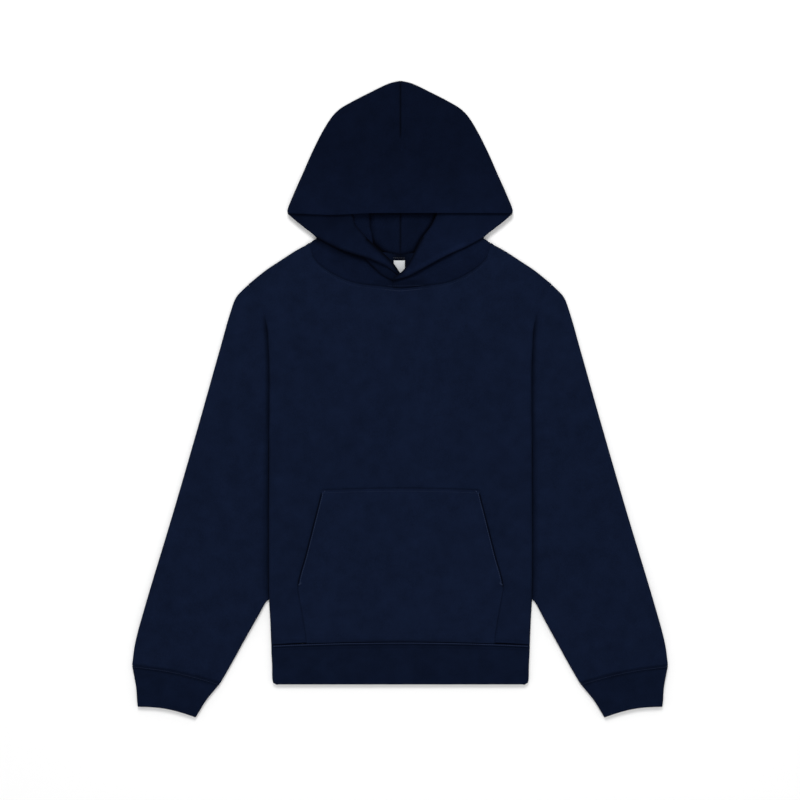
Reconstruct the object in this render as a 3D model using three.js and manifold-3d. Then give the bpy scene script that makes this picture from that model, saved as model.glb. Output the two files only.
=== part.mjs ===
import * as THREE from "three";
import { mergeVertices } from "three/addons/utils/BufferGeometryUtils.js";
import Module from "manifold-3d";

// Pullover hoodie laid on its back on a flat surface, in millimetres.
// +X is the viewer's right, +Y runs from the hem to the hood, +Z is up off the surface.
// The origin is at the middle of the outline's box, on the surface.

// Cloth and lay
const WALL = 1.8;                    // brushed fleece
const RIB_WALL = 2.2;                // doubled rib knit
const LABEL_WALL = 0.8;
const SEAM_GAP = 0.3;
const LAY = 6.4;                     // two layers of fleece with the air between them
const RIB_LAY = 6.9;
const LOW = WALL / 2;                // middle of the lower layer
const HIGH = LAY - WALL / 2;         // middle of the upper layer
const HALF_LAY = LAY / 2;
const ROLL = HIGH - HALF_LAY;        // bend radius where a layer turns over at an edge
const EDGE_SHORT = 0.4;              // a turned edge stops this far from half height
const CREVICE = 1.4;                 // how far the armhole seam sinks
const CREVICE_WIDTH = 9;

// Body
const HEM_SEAM_Y = -377;             // at the centre, 5 mm lower at the sides
const HEM_SEAM_SAG = 5;
const HEM_END_Y = -442.2;
const ARMPIT_Y = -48;
const SHOULDER_TIP = { x: 232, y: 177.5 };
const NECK_POINT = { x: 141, y: 238 };
const FRONT_NECK_Y = 174;
const BACK_NECK_Y = 224;
const ARM_GAP = 0.7;                 // between the body's side and the sleeve beside it
const CUFF_BOW = 4.2;                // how far the cuff's seam and end bow up

// Heights where the body and the sleeve share a point on the armhole seam, as shares of it
const ARMHOLE_ROWS = [0, 0.06, 0.13, 0.21, 0.3, 0.45, 0.62, 0.78, 0.9, 0.955];
const SIDE_ROWS = [-382, -325, -260, -190, -120, -70, ARMPIT_Y];

// Half width of the body's outline
const BODY_SIDE = [
  { y: -385, x: 200.2 },
  { y: -362, x: 201.6 },
  { y: -325, x: 203.8 },
  { y: -200, x: 204.6 },
  { y: ARMPIT_Y, x: 204.2 },
  { y: 43, x: 204 },
  { y: 81, x: 205.4 },
  { y: 117, x: 208.5 },
  { y: 150, x: 218 },
  { y: SHOULDER_TIP.y, x: SHOULDER_TIP.x },
];

// Neck seam across the front, from the centre to the shoulder
const FRONT_NECK = [
  { x: 0, y: FRONT_NECK_Y },
  { x: 38, y: 177 },
  { x: 75, y: 182.3 },
  { x: 107.7, y: 197.2 },
  { x: 129.7, y: 214.5 },
  { x: 137.5, y: 227 },
  { x: NECK_POINT.x, y: NECK_POINT.y },
];

// Neck seam across the back, from the centre to the shoulder
const BACK_NECK = [
  { x: 0, y: BACK_NECK_Y },
  { x: 24, y: 228 },
  { x: 60, y: 233.5 },
  { x: 100, y: 236.8 },
  { x: NECK_POINT.x, y: NECK_POINT.y },
];

// Shoulder edge, from the neck to the shoulder tip
const SHOULDER = [
  { x: NECK_POINT.x, y: NECK_POINT.y },
  { x: 158.3, y: 230.6 },
  { x: 186.8, y: 212 },
  { x: SHOULDER_TIP.x, y: SHOULDER_TIP.y },
];

// Outer edge of the sleeve, from the shoulder tip to the cuff
const SLEEVE_OUTER = [
  { x: SHOULDER_TIP.x + SEAM_GAP, y: SHOULDER_TIP.y },
  { x: 241.5, y: 167.9 },
  { x: 251.5, y: 157.6 },
  { x: 260.7, y: 135.9 },
  { x: 279.8, y: 73.6 },
  { x: 312.9, y: -39.7 },
  { x: 351.7, y: -179.2 },
  { x: 392.5, y: -316.2 },
  { x: 408.5, y: -378.2 },
  { x: 412.3, y: -412.6 },
];

// Inner edge of the sleeve below the gap beside the body
const SLEEVE_INNER_END = [
  { x: 206.5, y: -305 },
  { x: 212, y: -317 },
  { x: 224, y: -332 },
  { x: 239.6, y: -362.5 },
  { x: 259, y: -395.9 },
  { x: 283.7, y: -440.7 },
];

// Cuff, from its seam to its open end
const CUFF = [
  { innerX: 283.9, innerY: -441.0, outerX: 412.3, outerY: -412.9 },
  { innerX: 294.2, innerY: -452.0, outerX: 409.8, outerY: -431.0 },
  { innerX: 304.7, innerY: -466.5, outerX: 405.8, outerY: -448.6 },
  { innerX: 313.0, innerY: -481.0, outerX: 404.6, outerY: -465.0 },
  { innerX: 319.0, innerY: -492.0, outerX: 403.2, outerY: -474.9 },
];

// Hem band, from its seam to its open end
const HEM = [
  { y: HEM_SEAM_Y, half: 199.6, sag: HEM_SEAM_SAG },
  { y: -394, half: 198.6, sag: 3 },
  { y: -415, half: 198.1, sag: 1 },
  { y: -436, half: 198.1, sag: 0 },
  { y: -440.8, half: 196.6, sag: 0 },
  { y: HEM_END_Y, half: 192.5, sag: 0 },
];

// Half width of the pocket: open slanted edges above, sewn sides below
const POCKET = [
  { y: -374.5, half: 145.5 },
  { y: -340, half: 151 },
  { y: -305, half: 157.8 },
  { y: -289, half: 160.7 },
  { y: -240, half: 149 },
  { y: -190, half: 136.4 },
  { y: -150, half: 126 },
  { y: -140.5, half: 123.6 },
];
const POCKET_TOP_BOW = 3;
const POCKET_LIFT = 1.1;             // loose cloth over the hand space
const POCKET_TURN = 25;              // width over which the pocket comes down to its edge

// Hood outline, from the peak down to the corner of the rim
const HOOD_SIDE = [
  { x: 0.35, y: 492 },
  { x: 15.5, y: 488.6 },
  { x: 45, y: 474.3 },
  { x: 92.8, y: 450.3 },
  { x: 118.3, y: 415.4 },
  { x: 151.1, y: 346.3 },
  { x: 174, y: 291.4 },
  { x: 172.8, y: 287.5 },
];
const BACK_NECK_BOW = 4;
const RIM_Y = 287.5;
const RIM_HIGH = 12.2;               // middle of the upper layer at the rim
const RIM_RISE = 120;                // length over which the hood opens up to its rim
const FOLD = 1.3;                    // bend radius where the hood's front turns over

// The hood's front stands up from the neck seam to its roll line, turns over there and
// falls back to its free edge. Each table runs from the centre to the shoulder, on to the
// corner of the rim, and then to where the fold ends inside the hood.
const FALL_SPANS = [
  { ribs: 12, turned: false },
  { ribs: 6, turned: true },
  { ribs: 3, turned: true },
];
const JOIN_STEP = 0.06;              // keeps joined walls from sharing a face
const JOIN_DEPTH = 4;                // how far a foot runs on inside the lower layer
const LIFT_NEAR = 15;                // the right half lies over the left from here
const LIFT_FAR = 45;                 // and comes down to its seam here
const FOLD_BASE = [
  [
    { x: 139, y: 240 },
    { x: 130, y: 246.5 },
    { x: 133, y: 256.5 },
    { x: 147, y: 269 },
    { x: 163, y: 282 },
  ],
  [
    { x: 163, y: 282 },
    { x: 163, y: 298 },
    { x: 154, y: 320 },
  ],
];
const FREE_EDGE_END = [
  [
    { x: 128, y: 248 },
    { x: 138.9, y: 262.9 },
    { x: 154.2, y: 275.3 },
    { x: 172.3, y: 287.5 },
  ],
  [
    { x: 172.3, y: 287.5 },
    { x: 172.3, y: 294 },
    { x: 163, y: 317 },
  ],
];
const FRONT_EDGES = {
  left: {
    cross: 8,
    lift: 0,
    roll: [
      [
        { x: -7, y: 184 },
        { x: 1, y: 196 },
        { x: 13.2, y: 213.3 },
        { x: 34.3, y: 233.1 },
        { x: 50, y: 247 },
      ],
      [
        { x: 50, y: 247 },
        { x: 69, y: 269 },
        { x: 74, y: 285 },
      ],
      [
        { x: 74, y: 285 },
        { x: 79, y: 302 },
        { x: 85, y: 320 },
      ],
    ],
    free: [
      { x: -6, y: 180.5 },
      { x: 3, y: 190.5 },
      { x: 23, y: 204 },
      { x: 46, y: 214.5 },
      { x: 92, y: 230 },
      { x: 128, y: 248 },
    ],
  },
  right: {
    cross: 12,
    lift: 4.7,
    roll: [
      [
        { x: -11, y: 188 },
        { x: 2, y: 197 },
        { x: 12.9, y: 210.8 },
        { x: 22.8, y: 229.4 },
        { x: 33, y: 249 },
      ],
      [
        { x: 33, y: 249 },
        { x: 48.8, y: 270.3 },
        { x: 55, y: 284 },
      ],
      [
        { x: 55, y: 284 },
        { x: 62, y: 301 },
        { x: 70, y: 320 },
      ],
    ],
    free: [
      { x: -12, y: 183.5 },
      { x: 12.9, y: 188.5 },
      { x: 42.6, y: 204.6 },
      { x: 75, y: 222 },
      { x: 102, y: 234 },
      { x: 128, y: 248 },
    ],
  },
};

// Blank label inside the back of the neck
const LABEL = { left: -10.9, right: 7, top: 215.5, bottom: 189 };

// Steps of the surfaces
const ROLL_ANGLES = [0, 30, 60, 90];
const SLEEVE_COLUMNS = 6;
const CUFF_COLUMNS = 6;
const HEM_COLUMNS = 12;
const HOOD_COLUMNS = FRONT_NECK.length - 1;
const HOOD_ROWS = 13;
const FALL_COLUMNS = 4;
const POCKET_COLUMNS = 12;
const WELD = 0.02;

const NAVY = new THREE.Color(0.0045, 0.009, 0.024);
const NAVY_RIB = new THREE.Color(0.0038, 0.0075, 0.02);
const LABEL_WHITE = new THREE.Color(0.72, 0.72, 0.73);

const { lerp, smoothstep, degToRad } = THREE.MathUtils;
const vector = (x, y, z = 0) => new THREE.Vector3(x, y, z);

// A value read from a table of rows, by straight steps between them
function valueAt(rows, key, value, at) {
  const ordered = [...rows].sort((a, b) => a[key] - b[key]);
  if (at <= ordered[0][key]) return ordered[0][value];
  for (let i = 1; i < ordered.length; i += 1) {
    const [before, after] = [ordered[i - 1], ordered[i]];
    if (at <= after[key]) {
      return lerp(before[value], after[value], (at - before[key]) / (after[key] - before[key]));
    }
  }
  return ordered.at(-1)[value];
}

// A smooth plan curve through a table's rows
function curveThrough(rows) {
  return new THREE.CatmullRomCurve3(rows.map(({ x, y }) => vector(x, y)), false, "centripetal");
}

const hemSeamY = (x) => HEM_SEAM_Y - HEM_SEAM_SAG * (x / HEM[0].half) ** 2;
const bodyHalf = (y) => valueAt(BODY_SIDE, "y", "x", y);
const frontNeckY = (x) => valueAt(FRONT_NECK, "x", "y", Math.abs(x));
const backNeckY = (x) => valueAt(BACK_NECK, "x", "y", Math.abs(x));
const shoulderY = (x) => valueAt(SHOULDER, "x", "y", Math.abs(x));

// Height on the armhole seam, from just under the shoulder tip down to the armpit
const armholeY = (share) => lerp(SHOULDER_TIP.y - WALL / 2 - ROLL, ARMPIT_Y, share);

// How far the armhole seam sinks below the upper layer at a height
function creviceAt(y) {
  return CREVICE * (1 - smoothstep(y, 95, 135)) + 0.2;
}

// Drop of a layer that turns over with a quarter circle, by its distance from the edge
function rollDrop(distance) {
  if (distance >= ROLL) return 0;
  return ROLL - Math.sqrt(ROLL ** 2 - (ROLL - distance) ** 2);
}

// A closed wall with this middle surface. Faces are loops of point numbers, seen from the
// side that the normals leave by.
function wallFrom(points, faces, wall) {
  const keys = new Map();
  const kept = [];
  const number = points.map((point) => {
    if (!point) return -1;
    const key = [point.x, point.y, point.z].map((v) => Math.round(v / WELD)).join(" ");
    if (!keys.has(key)) {
      keys.set(key, kept.length);
      kept.push(point);
    }
    return keys.get(key);
  });
  const triangles = [];
  for (const face of faces) {
    const loop = face.map((i) => number[i]).filter((n, i, all) => n !== all.at(i - 1));
    for (let i = 2; i < loop.length; i += 1) triangles.push([loop[0], loop[i - 1], loop[i]]);
  }
  const normals = kept.map(() => vector(0, 0, 0));
  for (const [a, b, c] of triangles) {
    const side = kept[b].clone().sub(kept[a]).cross(kept[c].clone().sub(kept[a]));
    for (const i of [a, b, c]) normals[i].add(side);
  }
  const count = kept.length;
  const positions = [];
  for (const sign of [1, -1]) {
    kept.forEach((point, i) => {
      positions.push(...point.clone().addScaledVector(normals[i].normalize(), (sign * wall) / 2).toArray());
    });
  }
  const edges = new Set(triangles.flatMap(([a, b, c]) => [`${a} ${b}`, `${b} ${c}`, `${c} ${a}`]));
  const index = [];
  for (const [a, b, c] of triangles) {
    index.push(a, b, c, a + count, c + count, b + count);
    for (const [from, to] of [[a, b], [b, c], [c, a]]) {
      if (!edges.has(`${to} ${from}`)) {
        index.push(from, from + count, to + count, from, to + count, to);
      }
    }
  }
  const geometry = new THREE.BufferGeometry();
  geometry.setAttribute("position", new THREE.Float32BufferAttribute(positions, 3));
  geometry.setIndex(index);
  geometry.computeVertexNormals();
  return geometry;
}

// Faces of a grid of points, leaving out those that miss a corner
function gridFaces(grid, closed = false) {
  const points = grid.flat();
  const width = grid[0].length;
  const faces = [];
  for (let row = 1; row < grid.length; row += 1) {
    const steps = closed ? width : width - 1;
    for (let column = 0; column < steps; column += 1) {
      const next = (column + 1) % width;
      const loop = [
        (row - 1) * width + column,
        (row - 1) * width + next,
        row * width + next,
        row * width + column,
      ];
      if (loop.every((i) => points[i])) faces.push(loop);
    }
  }
  return { points, faces };
}

// Front or back of the body. The upper layer is the front.
function bodyPanel(isFront) {
  const neckY = isFront ? frontNeckY : backNeckY;
  const insets = ROLL_ANGLES.map((angle) => ROLL * (1 - Math.cos(degToRad(angle))));
  const topX = SHOULDER_TIP.x - WALL / 2;
  const neckColumns = FRONT_NECK.map(({ x }) => x / topX);
  const outerColumns = [0.7, 0.78, 0.86, 0.93, 0.97];
  const half = [
    ...neckColumns.map((share) => ({ share, inset: 0 })),
    ...outerColumns.map((share) => ({ share, inset: 0 })),
    ...insets.toReversed().map((inset) => ({ share: 1, inset })),
  ];
  const columns = [
    ...half.slice(1).toReversed().map((column) => ({ ...column, side: -1 })),
    ...half.map((column) => ({ ...column, side: 1 })),
  ];
  const sideTop = SHOULDER_TIP.y - WALL / 2;
  const sideLow = hemSeamY(HEM[0].half) + SEAM_GAP / 2;
  const heights = [...SIDE_ROWS.slice(1), ...ARMHOLE_ROWS.toReversed().slice(0, -1).map(armholeY)];
  const levels = [
    { rise: 0, inset: 0 },
    ...heights.map((y) => ({ rise: (y - sideLow) / (sideTop - sideLow), inset: 0 })),
    ...insets.toReversed().map((inset) => ({ rise: 1, inset })),
  ];
  const grid = levels.map(({ rise, inset: topInset }) => columns.map(({ share, inset, side }) => {
    const edgeX = (y) => Math.min(bodyHalf(y) - WALL / 2, topX);
    const planX = (y) => share * (edgeX(y) - insets.at(-1) * (share === 1 ? 0 : 1)) - inset;
    const lowY = hemSeamY(share * HEM[0].half) + SEAM_GAP / 2;
    const tipX = planX(SHOULDER_TIP.y);
    const atNeck = tipX <= NECK_POINT.x + WELD;
    const highY = atNeck ? neckY(tipX) : shoulderY(tipX) - WALL / 2;
    const y = lerp(lowY, highY, rise) - (atNeck ? topInset * 0.5 : topInset);
    const x = planX(y);
    const fromSide = edgeX(y) - x;
    const sideRoll = rollDrop(fromSide) * (1 - smoothstep(y, ARMPIT_Y - 20, ARMPIT_Y));
    const sink = (isFront ? creviceAt(y) : 0) * smoothstep(y, ARMPIT_Y, ARMPIT_Y + 16)
      * (1 - smoothstep(fromSide, 0, CREVICE_WIDTH));
    const topRoll = atNeck ? 0 : rollDrop(Math.max(highY - y, 0));
    const limit = ROLL - EDGE_SHORT;
    const drop = Math.min(Math.max(sideRoll, topRoll, sink), limit);
    return vector(side * x, y, isFront ? HIGH - drop : LOW + drop);
  }));
  const { points, faces } = gridFaces(grid);
  return wallFrom(points, isFront ? faces : faces.map((face) => face.toReversed()), WALL);
}

// Points of a band that lies flat and turns over at its edges. Each row has an inner and an
// outer outline point. An open row starts on a seam instead of turning over at its inner
// edge, and a row with lowerOnly has no upper layer.
function laidBand(rows, columns, wall, lay) {
  const low = wall / 2;
  const edgeNormal = (name, i, sign) => {
    const before = rows[Math.max(i - 1, 0)][name];
    const after = rows[Math.min(i + 1, rows.length - 1)][name];
    const along = after.clone().sub(before).normalize();
    return vector(sign * along.y, -sign * along.x);
  };
  return rows.map((row, i) => {
    const high = row.high ?? lay - wall / 2;
    const roll = (high - low) / 2;
    const middle = (high + low) / 2;
    const across = row.outer.clone().sub(row.inner).normalize();
    const innerIn = row.seam ? across : edgeNormal("inner", i, -1);
    const outerIn = row.seam ? across.clone().negate() : row.outerNormal ?? edgeNormal("outer", i, 1);
    const turned = (point, inward, angle) => point.clone()
      .addScaledVector(inward, wall / 2 + roll * (1 - Math.cos(degToRad(angle))))
      .setZ(middle + roll * Math.sin(degToRad(angle)));
    const innerFlat = row.open ? row.inner : turned(row.inner, innerIn, 90);
    const outerFlat = row.lowerOnly ? row.outer : turned(row.outer, outerIn, 90);
    const flat = (layer) => Array.from({ length: columns + 1 }, (_, j) => {
      const share = j / columns;
      const point = row.path ? row.path(j) : innerFlat.clone().lerp(outerFlat, share);
      point.y += (row.bow ?? 0) * Math.sin(Math.PI * share);
      const sink = layer > 0 ? (row.sink ?? 0) * (1 - smoothstep(j, 0, 1)) : 0;
      return point.setZ(layer > 0 ? high - sink : low);
    });
    const innerTurn = (angles) => angles.map((a) => (row.open ? null : turned(row.inner, innerIn, a)));
    const outerTurn = (angles) => angles.map((a) => (row.lowerOnly ? null : turned(row.outer, outerIn, a)));
    const upper = row.lowerOnly ? flat(1).map(() => null) : flat(1);
    return [
      ...innerTurn([0, 30, 60]),
      ...upper,
      ...outerTurn([60, 30, 0, -30, -60]),
      ...flat(-1).toReversed(),
      ...innerTurn([-60, -30]),
    ];
  });
}

function bandWall(rows, columns, wall, lay) {
  const { points, faces } = gridFaces(laidBand(rows, columns, wall, lay), true);
  return wallFrom(points, faces.map((face) => face.toReversed()), wall);
}

// Right sleeve: its top rows start on the armhole seam, the rest turn over beside the body
function sleeve() {
  const outer = curveThrough(SLEEVE_OUTER);
  const armpitShare = 0.325;
  const lowRows = [0, 0.05, 0.16, 0.3, 0.44, 0.58, 0.69, 0.8, 0.9, 1];
  const inner = curveThrough([
    { x: bodyHalf(ARMPIT_Y) + ARM_GAP, y: ARMPIT_Y - 6 },
    { x: bodyHalf(-120) + ARM_GAP, y: -120 },
    { x: bodyHalf(-200) + ARM_GAP, y: -200 },
    ...SLEEVE_INNER_END,
  ]);
  const start = ARMHOLE_ROWS.map((share) => {
    const y = armholeY(share);
    const edge = outer.getPointAt(share * armpitShare);
    const across = outer.getTangentAt(share * armpitShare);
    const alongSeam = 1 - smoothstep(share, 0, 0.2);
    const outerNormal = vector(across.y, -across.x).lerp(vector(0, -1), alongSeam).normalize();
    const x = bodyHalf(y) - WALL / 2 + 1.6 * SEAM_GAP;
    return { inner: vector(x, y), outer: edge, outerNormal, open: true, sink: creviceAt(y) };
  });
  const rest = lowRows.map((share) => ({
    inner: inner.getPointAt(share),
    outer: outer.getPointAt(lerp(armpitShare, 1, share)),
    bow: CUFF_BOW * share ** 3,
    seam: share === 1,
  }));
  return bandWall([...start, ...rest], SLEEVE_COLUMNS, WALL, LAY);
}

function cuff() {
  const rows = CUFF.map(({ innerX, innerY, outerX, outerY }, i) => ({
    inner: vector(innerX, innerY),
    outer: vector(outerX, outerY),
    bow: CUFF_BOW,
    seam: i === 0,
  }));
  return bandWall(rows, CUFF_COLUMNS, RIB_WALL, RIB_LAY);
}

function hemBand() {
  const rows = HEM.map(({ y, half, sag }, i) => {
    const edgeY = y - sag - (i === 0 ? SEAM_GAP : 0);
    return { inner: vector(-half, edgeY), outer: vector(half, edgeY), seam: true, bow: sag };
  });
  return bandWall(rows, HEM_COLUMNS, RIB_WALL, RIB_LAY);
}

// The pocket lies on the front, sewn along its top, lower sides and hem seam
function pocket() {
  const grid = POCKET.map(({ y, half }, i) => Array.from({ length: POCKET_COLUMNS + 1 }, (_, j) => {
    const share = (2 * j) / POCKET_COLUMNS - 1;
    const x = share * half;
    const last = POCKET.length - 1;
    const bow = i === last ? POCKET_TOP_BOW * (1 - share ** 2) : 0;
    const foot = i === 0 ? hemSeamY(x) + SEAM_GAP / 2 : y + bow;
    const fromEdge = Math.min(half - Math.abs(x), POCKET.at(-1).y - foot + bow, foot - POCKET[0].y);
    const lift = POCKET_LIFT * smoothstep(fromEdge, 0, POCKET_TURN);
    return vector(x, foot, HIGH + WALL + SEAM_GAP + lift);
  }));
  const { points, faces } = gridFaces(grid);
  return wallFrom(points, faces, WALL);
}

function label() {
  const z = WALL + SEAM_GAP + LABEL_WALL / 2;
  const grid = [LABEL.bottom, LABEL.top].map((y) => [vector(LABEL.left, y, z), vector(LABEL.right, y, z)]);
  const { points, faces } = gridFaces(grid);
  return wallFrom(points, faces, LABEL_WALL);
}

// Height of the hood's upper layer between the peak and the rim
function hoodHigh(y) {
  return lerp(HIGH, RIM_HIGH, 1 - smoothstep(y, RIM_Y, RIM_Y + RIM_RISE));
}

// Back and top of half the hood: two layers down to the rim, one from there to the neck seam
function hoodShell() {
  const outline = curveThrough(HOOD_SIDE);
  const peakDrop = WALL / 2 + ROLL;
  const centreX = SEAM_GAP / 2;
  const pouch = Array.from({ length: HOOD_ROWS }, (_, i) => {
    const share = i / (HOOD_ROWS - 1);
    const outer = outline.getPointAt(share);
    const along = outline.getTangentAt(Math.min(share, 0.97));
    const atPeak = 1 - smoothstep(share, 0, 0.15);
    return {
      inner: vector(centreX, lerp(HOOD_SIDE[0].y - peakDrop, RIM_Y, share)),
      outer,
      outerNormal: vector(along.y, -along.x).lerp(vector(0, -1), atPeak).normalize(),
      open: true,
      high: hoodHigh(outer.y),
    };
  });
  const sides = FOLD_BASE[0].toReversed().slice(1);
  const neck = sides.slice(0, -1).map(({ x, y }, i) => {
    const share = (i + 1) / sides.length;
    return {
      inner: vector(centreX, lerp(RIM_Y, BACK_NECK_Y, share)),
      outer: vector(x - 3, y),
      open: true,
      lowerOnly: true,
      bow: BACK_NECK_BOW * share,
    };
  });
  const seam = {
    inner: vector(centreX, BACK_NECK_Y),
    outer: vector(NECK_POINT.x, NECK_POINT.y),
    path: (j) => {
      const x = Math.min(Math.max(FRONT_NECK[j].x, centreX), NECK_POINT.x - 4);
      return vector(x, backNeckY(x) + 2 * SEAM_GAP);
    },
    open: true,
    lowerOnly: true,
  };
  return bandWall([...pouch, ...neck, seam], HOOD_COLUMNS, WALL, LAY);
}

// A point at a share of the length of a line with corners
function alongLine(rows, share) {
  const path = new THREE.CurvePath();
  for (let i = 1; i < rows.length; i += 1) {
    path.add(new THREE.LineCurve3(vector(rows[i - 1].x, rows[i - 1].y), vector(rows[i].x, rows[i].y)));
  }
  return path.getPointAt(share);
}

// The neck seam of the hood's front, from beyond the centre, where the halves cross
function standFoot(cross) {
  const seam = [{ x: -cross, y: frontNeckY(cross) }, ...FRONT_NECK];
  return seam.map((row, i) => {
    const before = seam[Math.max(i - 1, 0)];
    const after = seam[Math.min(i + 1, seam.length - 1)];
    const length = Math.hypot(after.x - before.x, after.y - before.y);
    return {
      x: row.x - (SEAM_GAP * (after.y - before.y)) / length,
      y: row.y + (SEAM_GAP * (after.x - before.x)) / length,
    };
  }).slice(0, -1).concat(FOLD_BASE[0][0]);
}

// Front of half the hood: up from its foot to the roll line, over it and down to the edge.
// Past the neck seam its foot turns under and joins the lower layer.
function hoodFront({ cross, lift, roll, free }) {
  const feet = [standFoot(cross), ...FOLD_BASE];
  const edges = [free, ...FREE_EDGE_END];
  const footLow = LOW + JOIN_STEP;
  const footRoll = (HIGH - footLow) / 2;
  const liftAt = (x) => lift * (1 - smoothstep(x, LIFT_NEAR, LIFT_FAR));
  const grid = [];
  FALL_SPANS.forEach(({ ribs, turned }, span) => {
    const [rollLine, edgeLine] = [roll[span], edges[span]].map(curveThrough);
    for (let i = span === 0 ? 0 : 1; i <= ribs; i += 1) {
      const share = i / ribs;
      const foot = alongLine(feet[span], share);
      const crest = rollLine.getPointAt(share);
      const edge = edgeLine.getPointAt(share).setZ(HIGH + 2 * FOLD);
      const towards = crest.clone().sub(foot).normalize();
      const bend = (from, sign, radius, middle) => (angle) => from.clone()
        .addScaledVector(towards, sign * (WALL / 2 + radius * (1 - Math.cos(degToRad(angle)))))
        .setZ(middle + radius * Math.sin(degToRad(angle)));
      const footBend = bend(foot, 1, footRoll, footLow + footRoll);
      const under = foot.clone().addScaledVector(towards, WALL / 2 + footRoll + JOIN_DEPTH).setZ(footLow);
      const crestBend = [-90, -45, 0, 45, 90].map(bend(crest, -1, FOLD, HIGH + FOLD));
      const start = turned ? footBend(90) : foot.setZ(HIGH);
      const steps = Array.from({ length: FALL_COLUMNS }, (_, j) => j / FALL_COLUMNS);
      const line = [
        ...(turned ? [under, ...[-90, -45, 0, 45].map(footBend)] : Array(5).fill(null)),
        ...steps.map((s) => start.clone().lerp(crestBend[0], s)),
        ...crestBend,
        ...steps.map((s) => edge.clone().lerp(crestBend.at(-1), s)).toReversed(),
      ];
      grid.push(line.map((point) => point && point.setZ(point.z + liftAt(point.x))));
    }
  });
  const { points, faces } = gridFaces(grid);
  return wallFrom(points, faces, WALL);
}

const wasm = await Module();
wasm.setup();

function solidOf(geometry) {
  const bare = geometry.clone();
  bare.deleteAttribute("normal");
  const merged = mergeVertices(bare, 1e-4);
  return new wasm.Manifold(new wasm.Mesh({
    numProp: 3,
    vertProperties: new Float32Array(merged.attributes.position.array),
    triVerts: new Uint32Array(merged.index.array),
  }));
}

function geometryOf(solid) {
  const mesh = solid.getMesh();
  const geometry = new THREE.BufferGeometry();
  geometry.setAttribute("position", new THREE.Float32BufferAttribute(mesh.vertProperties, 3));
  geometry.setIndex(new THREE.Uint32BufferAttribute(mesh.triVerts, 1));
  geometry.computeVertexNormals();
  return geometry;
}

function joined(...geometries) {
  return geometryOf(geometries.map(solidOf).reduce((sum, solid) => sum.add(solid)));
}

function mirrored(geometry) {
  const copy = geometry.clone().scale(-1, 1, 1);
  const index = copy.index.array;
  for (let i = 0; i < index.length; i += 3) [index[i + 1], index[i + 2]] = [index[i + 2], index[i + 1]];
  copy.computeVertexNormals();
  return copy;
}

const fleece = (name) => Object.assign(
  new THREE.MeshStandardMaterial({ color: NAVY, roughness: 0.95, metalness: 0 }),
  { name },
);
const rib = (name) => Object.assign(
  new THREE.MeshStandardMaterial({ color: NAVY_RIB, roughness: 0.95, metalness: 0 }),
  { name },
);

const PIECES = [
  { name: "back", geometry: bodyPanel(false), material: fleece("fleece") },
  { name: "front", geometry: bodyPanel(true), material: fleece("fleece") },
  { name: "sleeve_right", geometry: sleeve(), material: fleece("fleece") },
  { name: "sleeve_left", geometry: mirrored(sleeve()), material: fleece("fleece") },
  { name: "cuff_right", geometry: cuff(), material: rib("rib") },
  { name: "cuff_left", geometry: mirrored(cuff()), material: rib("rib") },
  { name: "hem_rib", geometry: hemBand(), material: rib("rib") },
  { name: "pocket", geometry: pocket(), material: fleece("fleece") },
  {
    name: "hood_right",
    geometry: joined(hoodShell(), hoodFront(FRONT_EDGES.right)),
    material: fleece("fleece"),
  },
  {
    name: "hood_left",
    geometry: mirrored(joined(hoodShell(), hoodFront(FRONT_EDGES.left))),
    material: fleece("fleece"),
  },
  {
    name: "label",
    geometry: label(),
    material: new THREE.MeshStandardMaterial({ color: LABEL_WHITE, roughness: 0.8, metalness: 0 }),
  },
];

const hoodie = new THREE.Group();
for (const { name, geometry, material } of PIECES) {
  const mesh = new THREE.Mesh(geometry, material);
  mesh.name = name;
  hoodie.add(mesh);
}

export default hoodie;
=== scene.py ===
"""Pullover hoodie laid flat on its back: fleece, ribs, seams and stitches around its frame."""

import math

import bpy
import numpy as np
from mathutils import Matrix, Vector, noise
from mathutils.bvhtree import BVHTree


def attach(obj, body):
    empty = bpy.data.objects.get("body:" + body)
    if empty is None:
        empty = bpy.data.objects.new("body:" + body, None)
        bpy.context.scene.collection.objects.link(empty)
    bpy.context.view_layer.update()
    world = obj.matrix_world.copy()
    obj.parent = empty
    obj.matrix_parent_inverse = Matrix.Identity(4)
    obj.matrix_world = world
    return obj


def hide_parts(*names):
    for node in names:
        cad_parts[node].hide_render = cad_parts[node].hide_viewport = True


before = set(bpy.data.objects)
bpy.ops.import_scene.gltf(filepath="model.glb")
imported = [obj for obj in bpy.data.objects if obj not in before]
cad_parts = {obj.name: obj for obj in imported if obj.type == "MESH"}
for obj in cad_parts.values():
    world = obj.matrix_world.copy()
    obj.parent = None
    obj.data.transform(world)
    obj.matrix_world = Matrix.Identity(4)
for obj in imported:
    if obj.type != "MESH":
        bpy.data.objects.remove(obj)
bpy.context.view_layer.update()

# Tables and sizes are in millimetres, and the scene is in metres
MM = 0.001
BODY = "root"
SIDES = (("right", 1), ("left", -1))
# The photo's scale and width
PIXEL, PIXELS = 1.55, 800

# Cloth walls, the gap at seams, the thickness of two layers with their air, and the layers' middle heights
WALL, RIB_WALL, LABEL_WALL = 1.8, 2.2, 0.6
SEAM_GAP = 0.02
LAY, RIB_LAY = 6.4, 6.9
LOW, HIGH = WALL / 2, LAY - WALL / 2
ROLL = (HIGH - LOW) / 2
# A turned edge stops this far from half height
EDGE_SHORT = 0.3
# How far the armhole seam sinks into the sleeve and the body, and over what width
CREVICE, CREVICE_WIDTH = 2.8, 8.5
BODY_EDGE_SINK, BODY_EDGE_WIDTH = 0.3, 1.8
# Degrees round a wall's end, a band's edge and a full fold, and the least angle that looks sharp
END_TURNS, EDGE_TURNS, HALF_TURN = (60, 30, 0, -30, -60), range(-75, 76, 15), range(-90, 91, 15)
SHARP_ANGLE = 48
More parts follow.
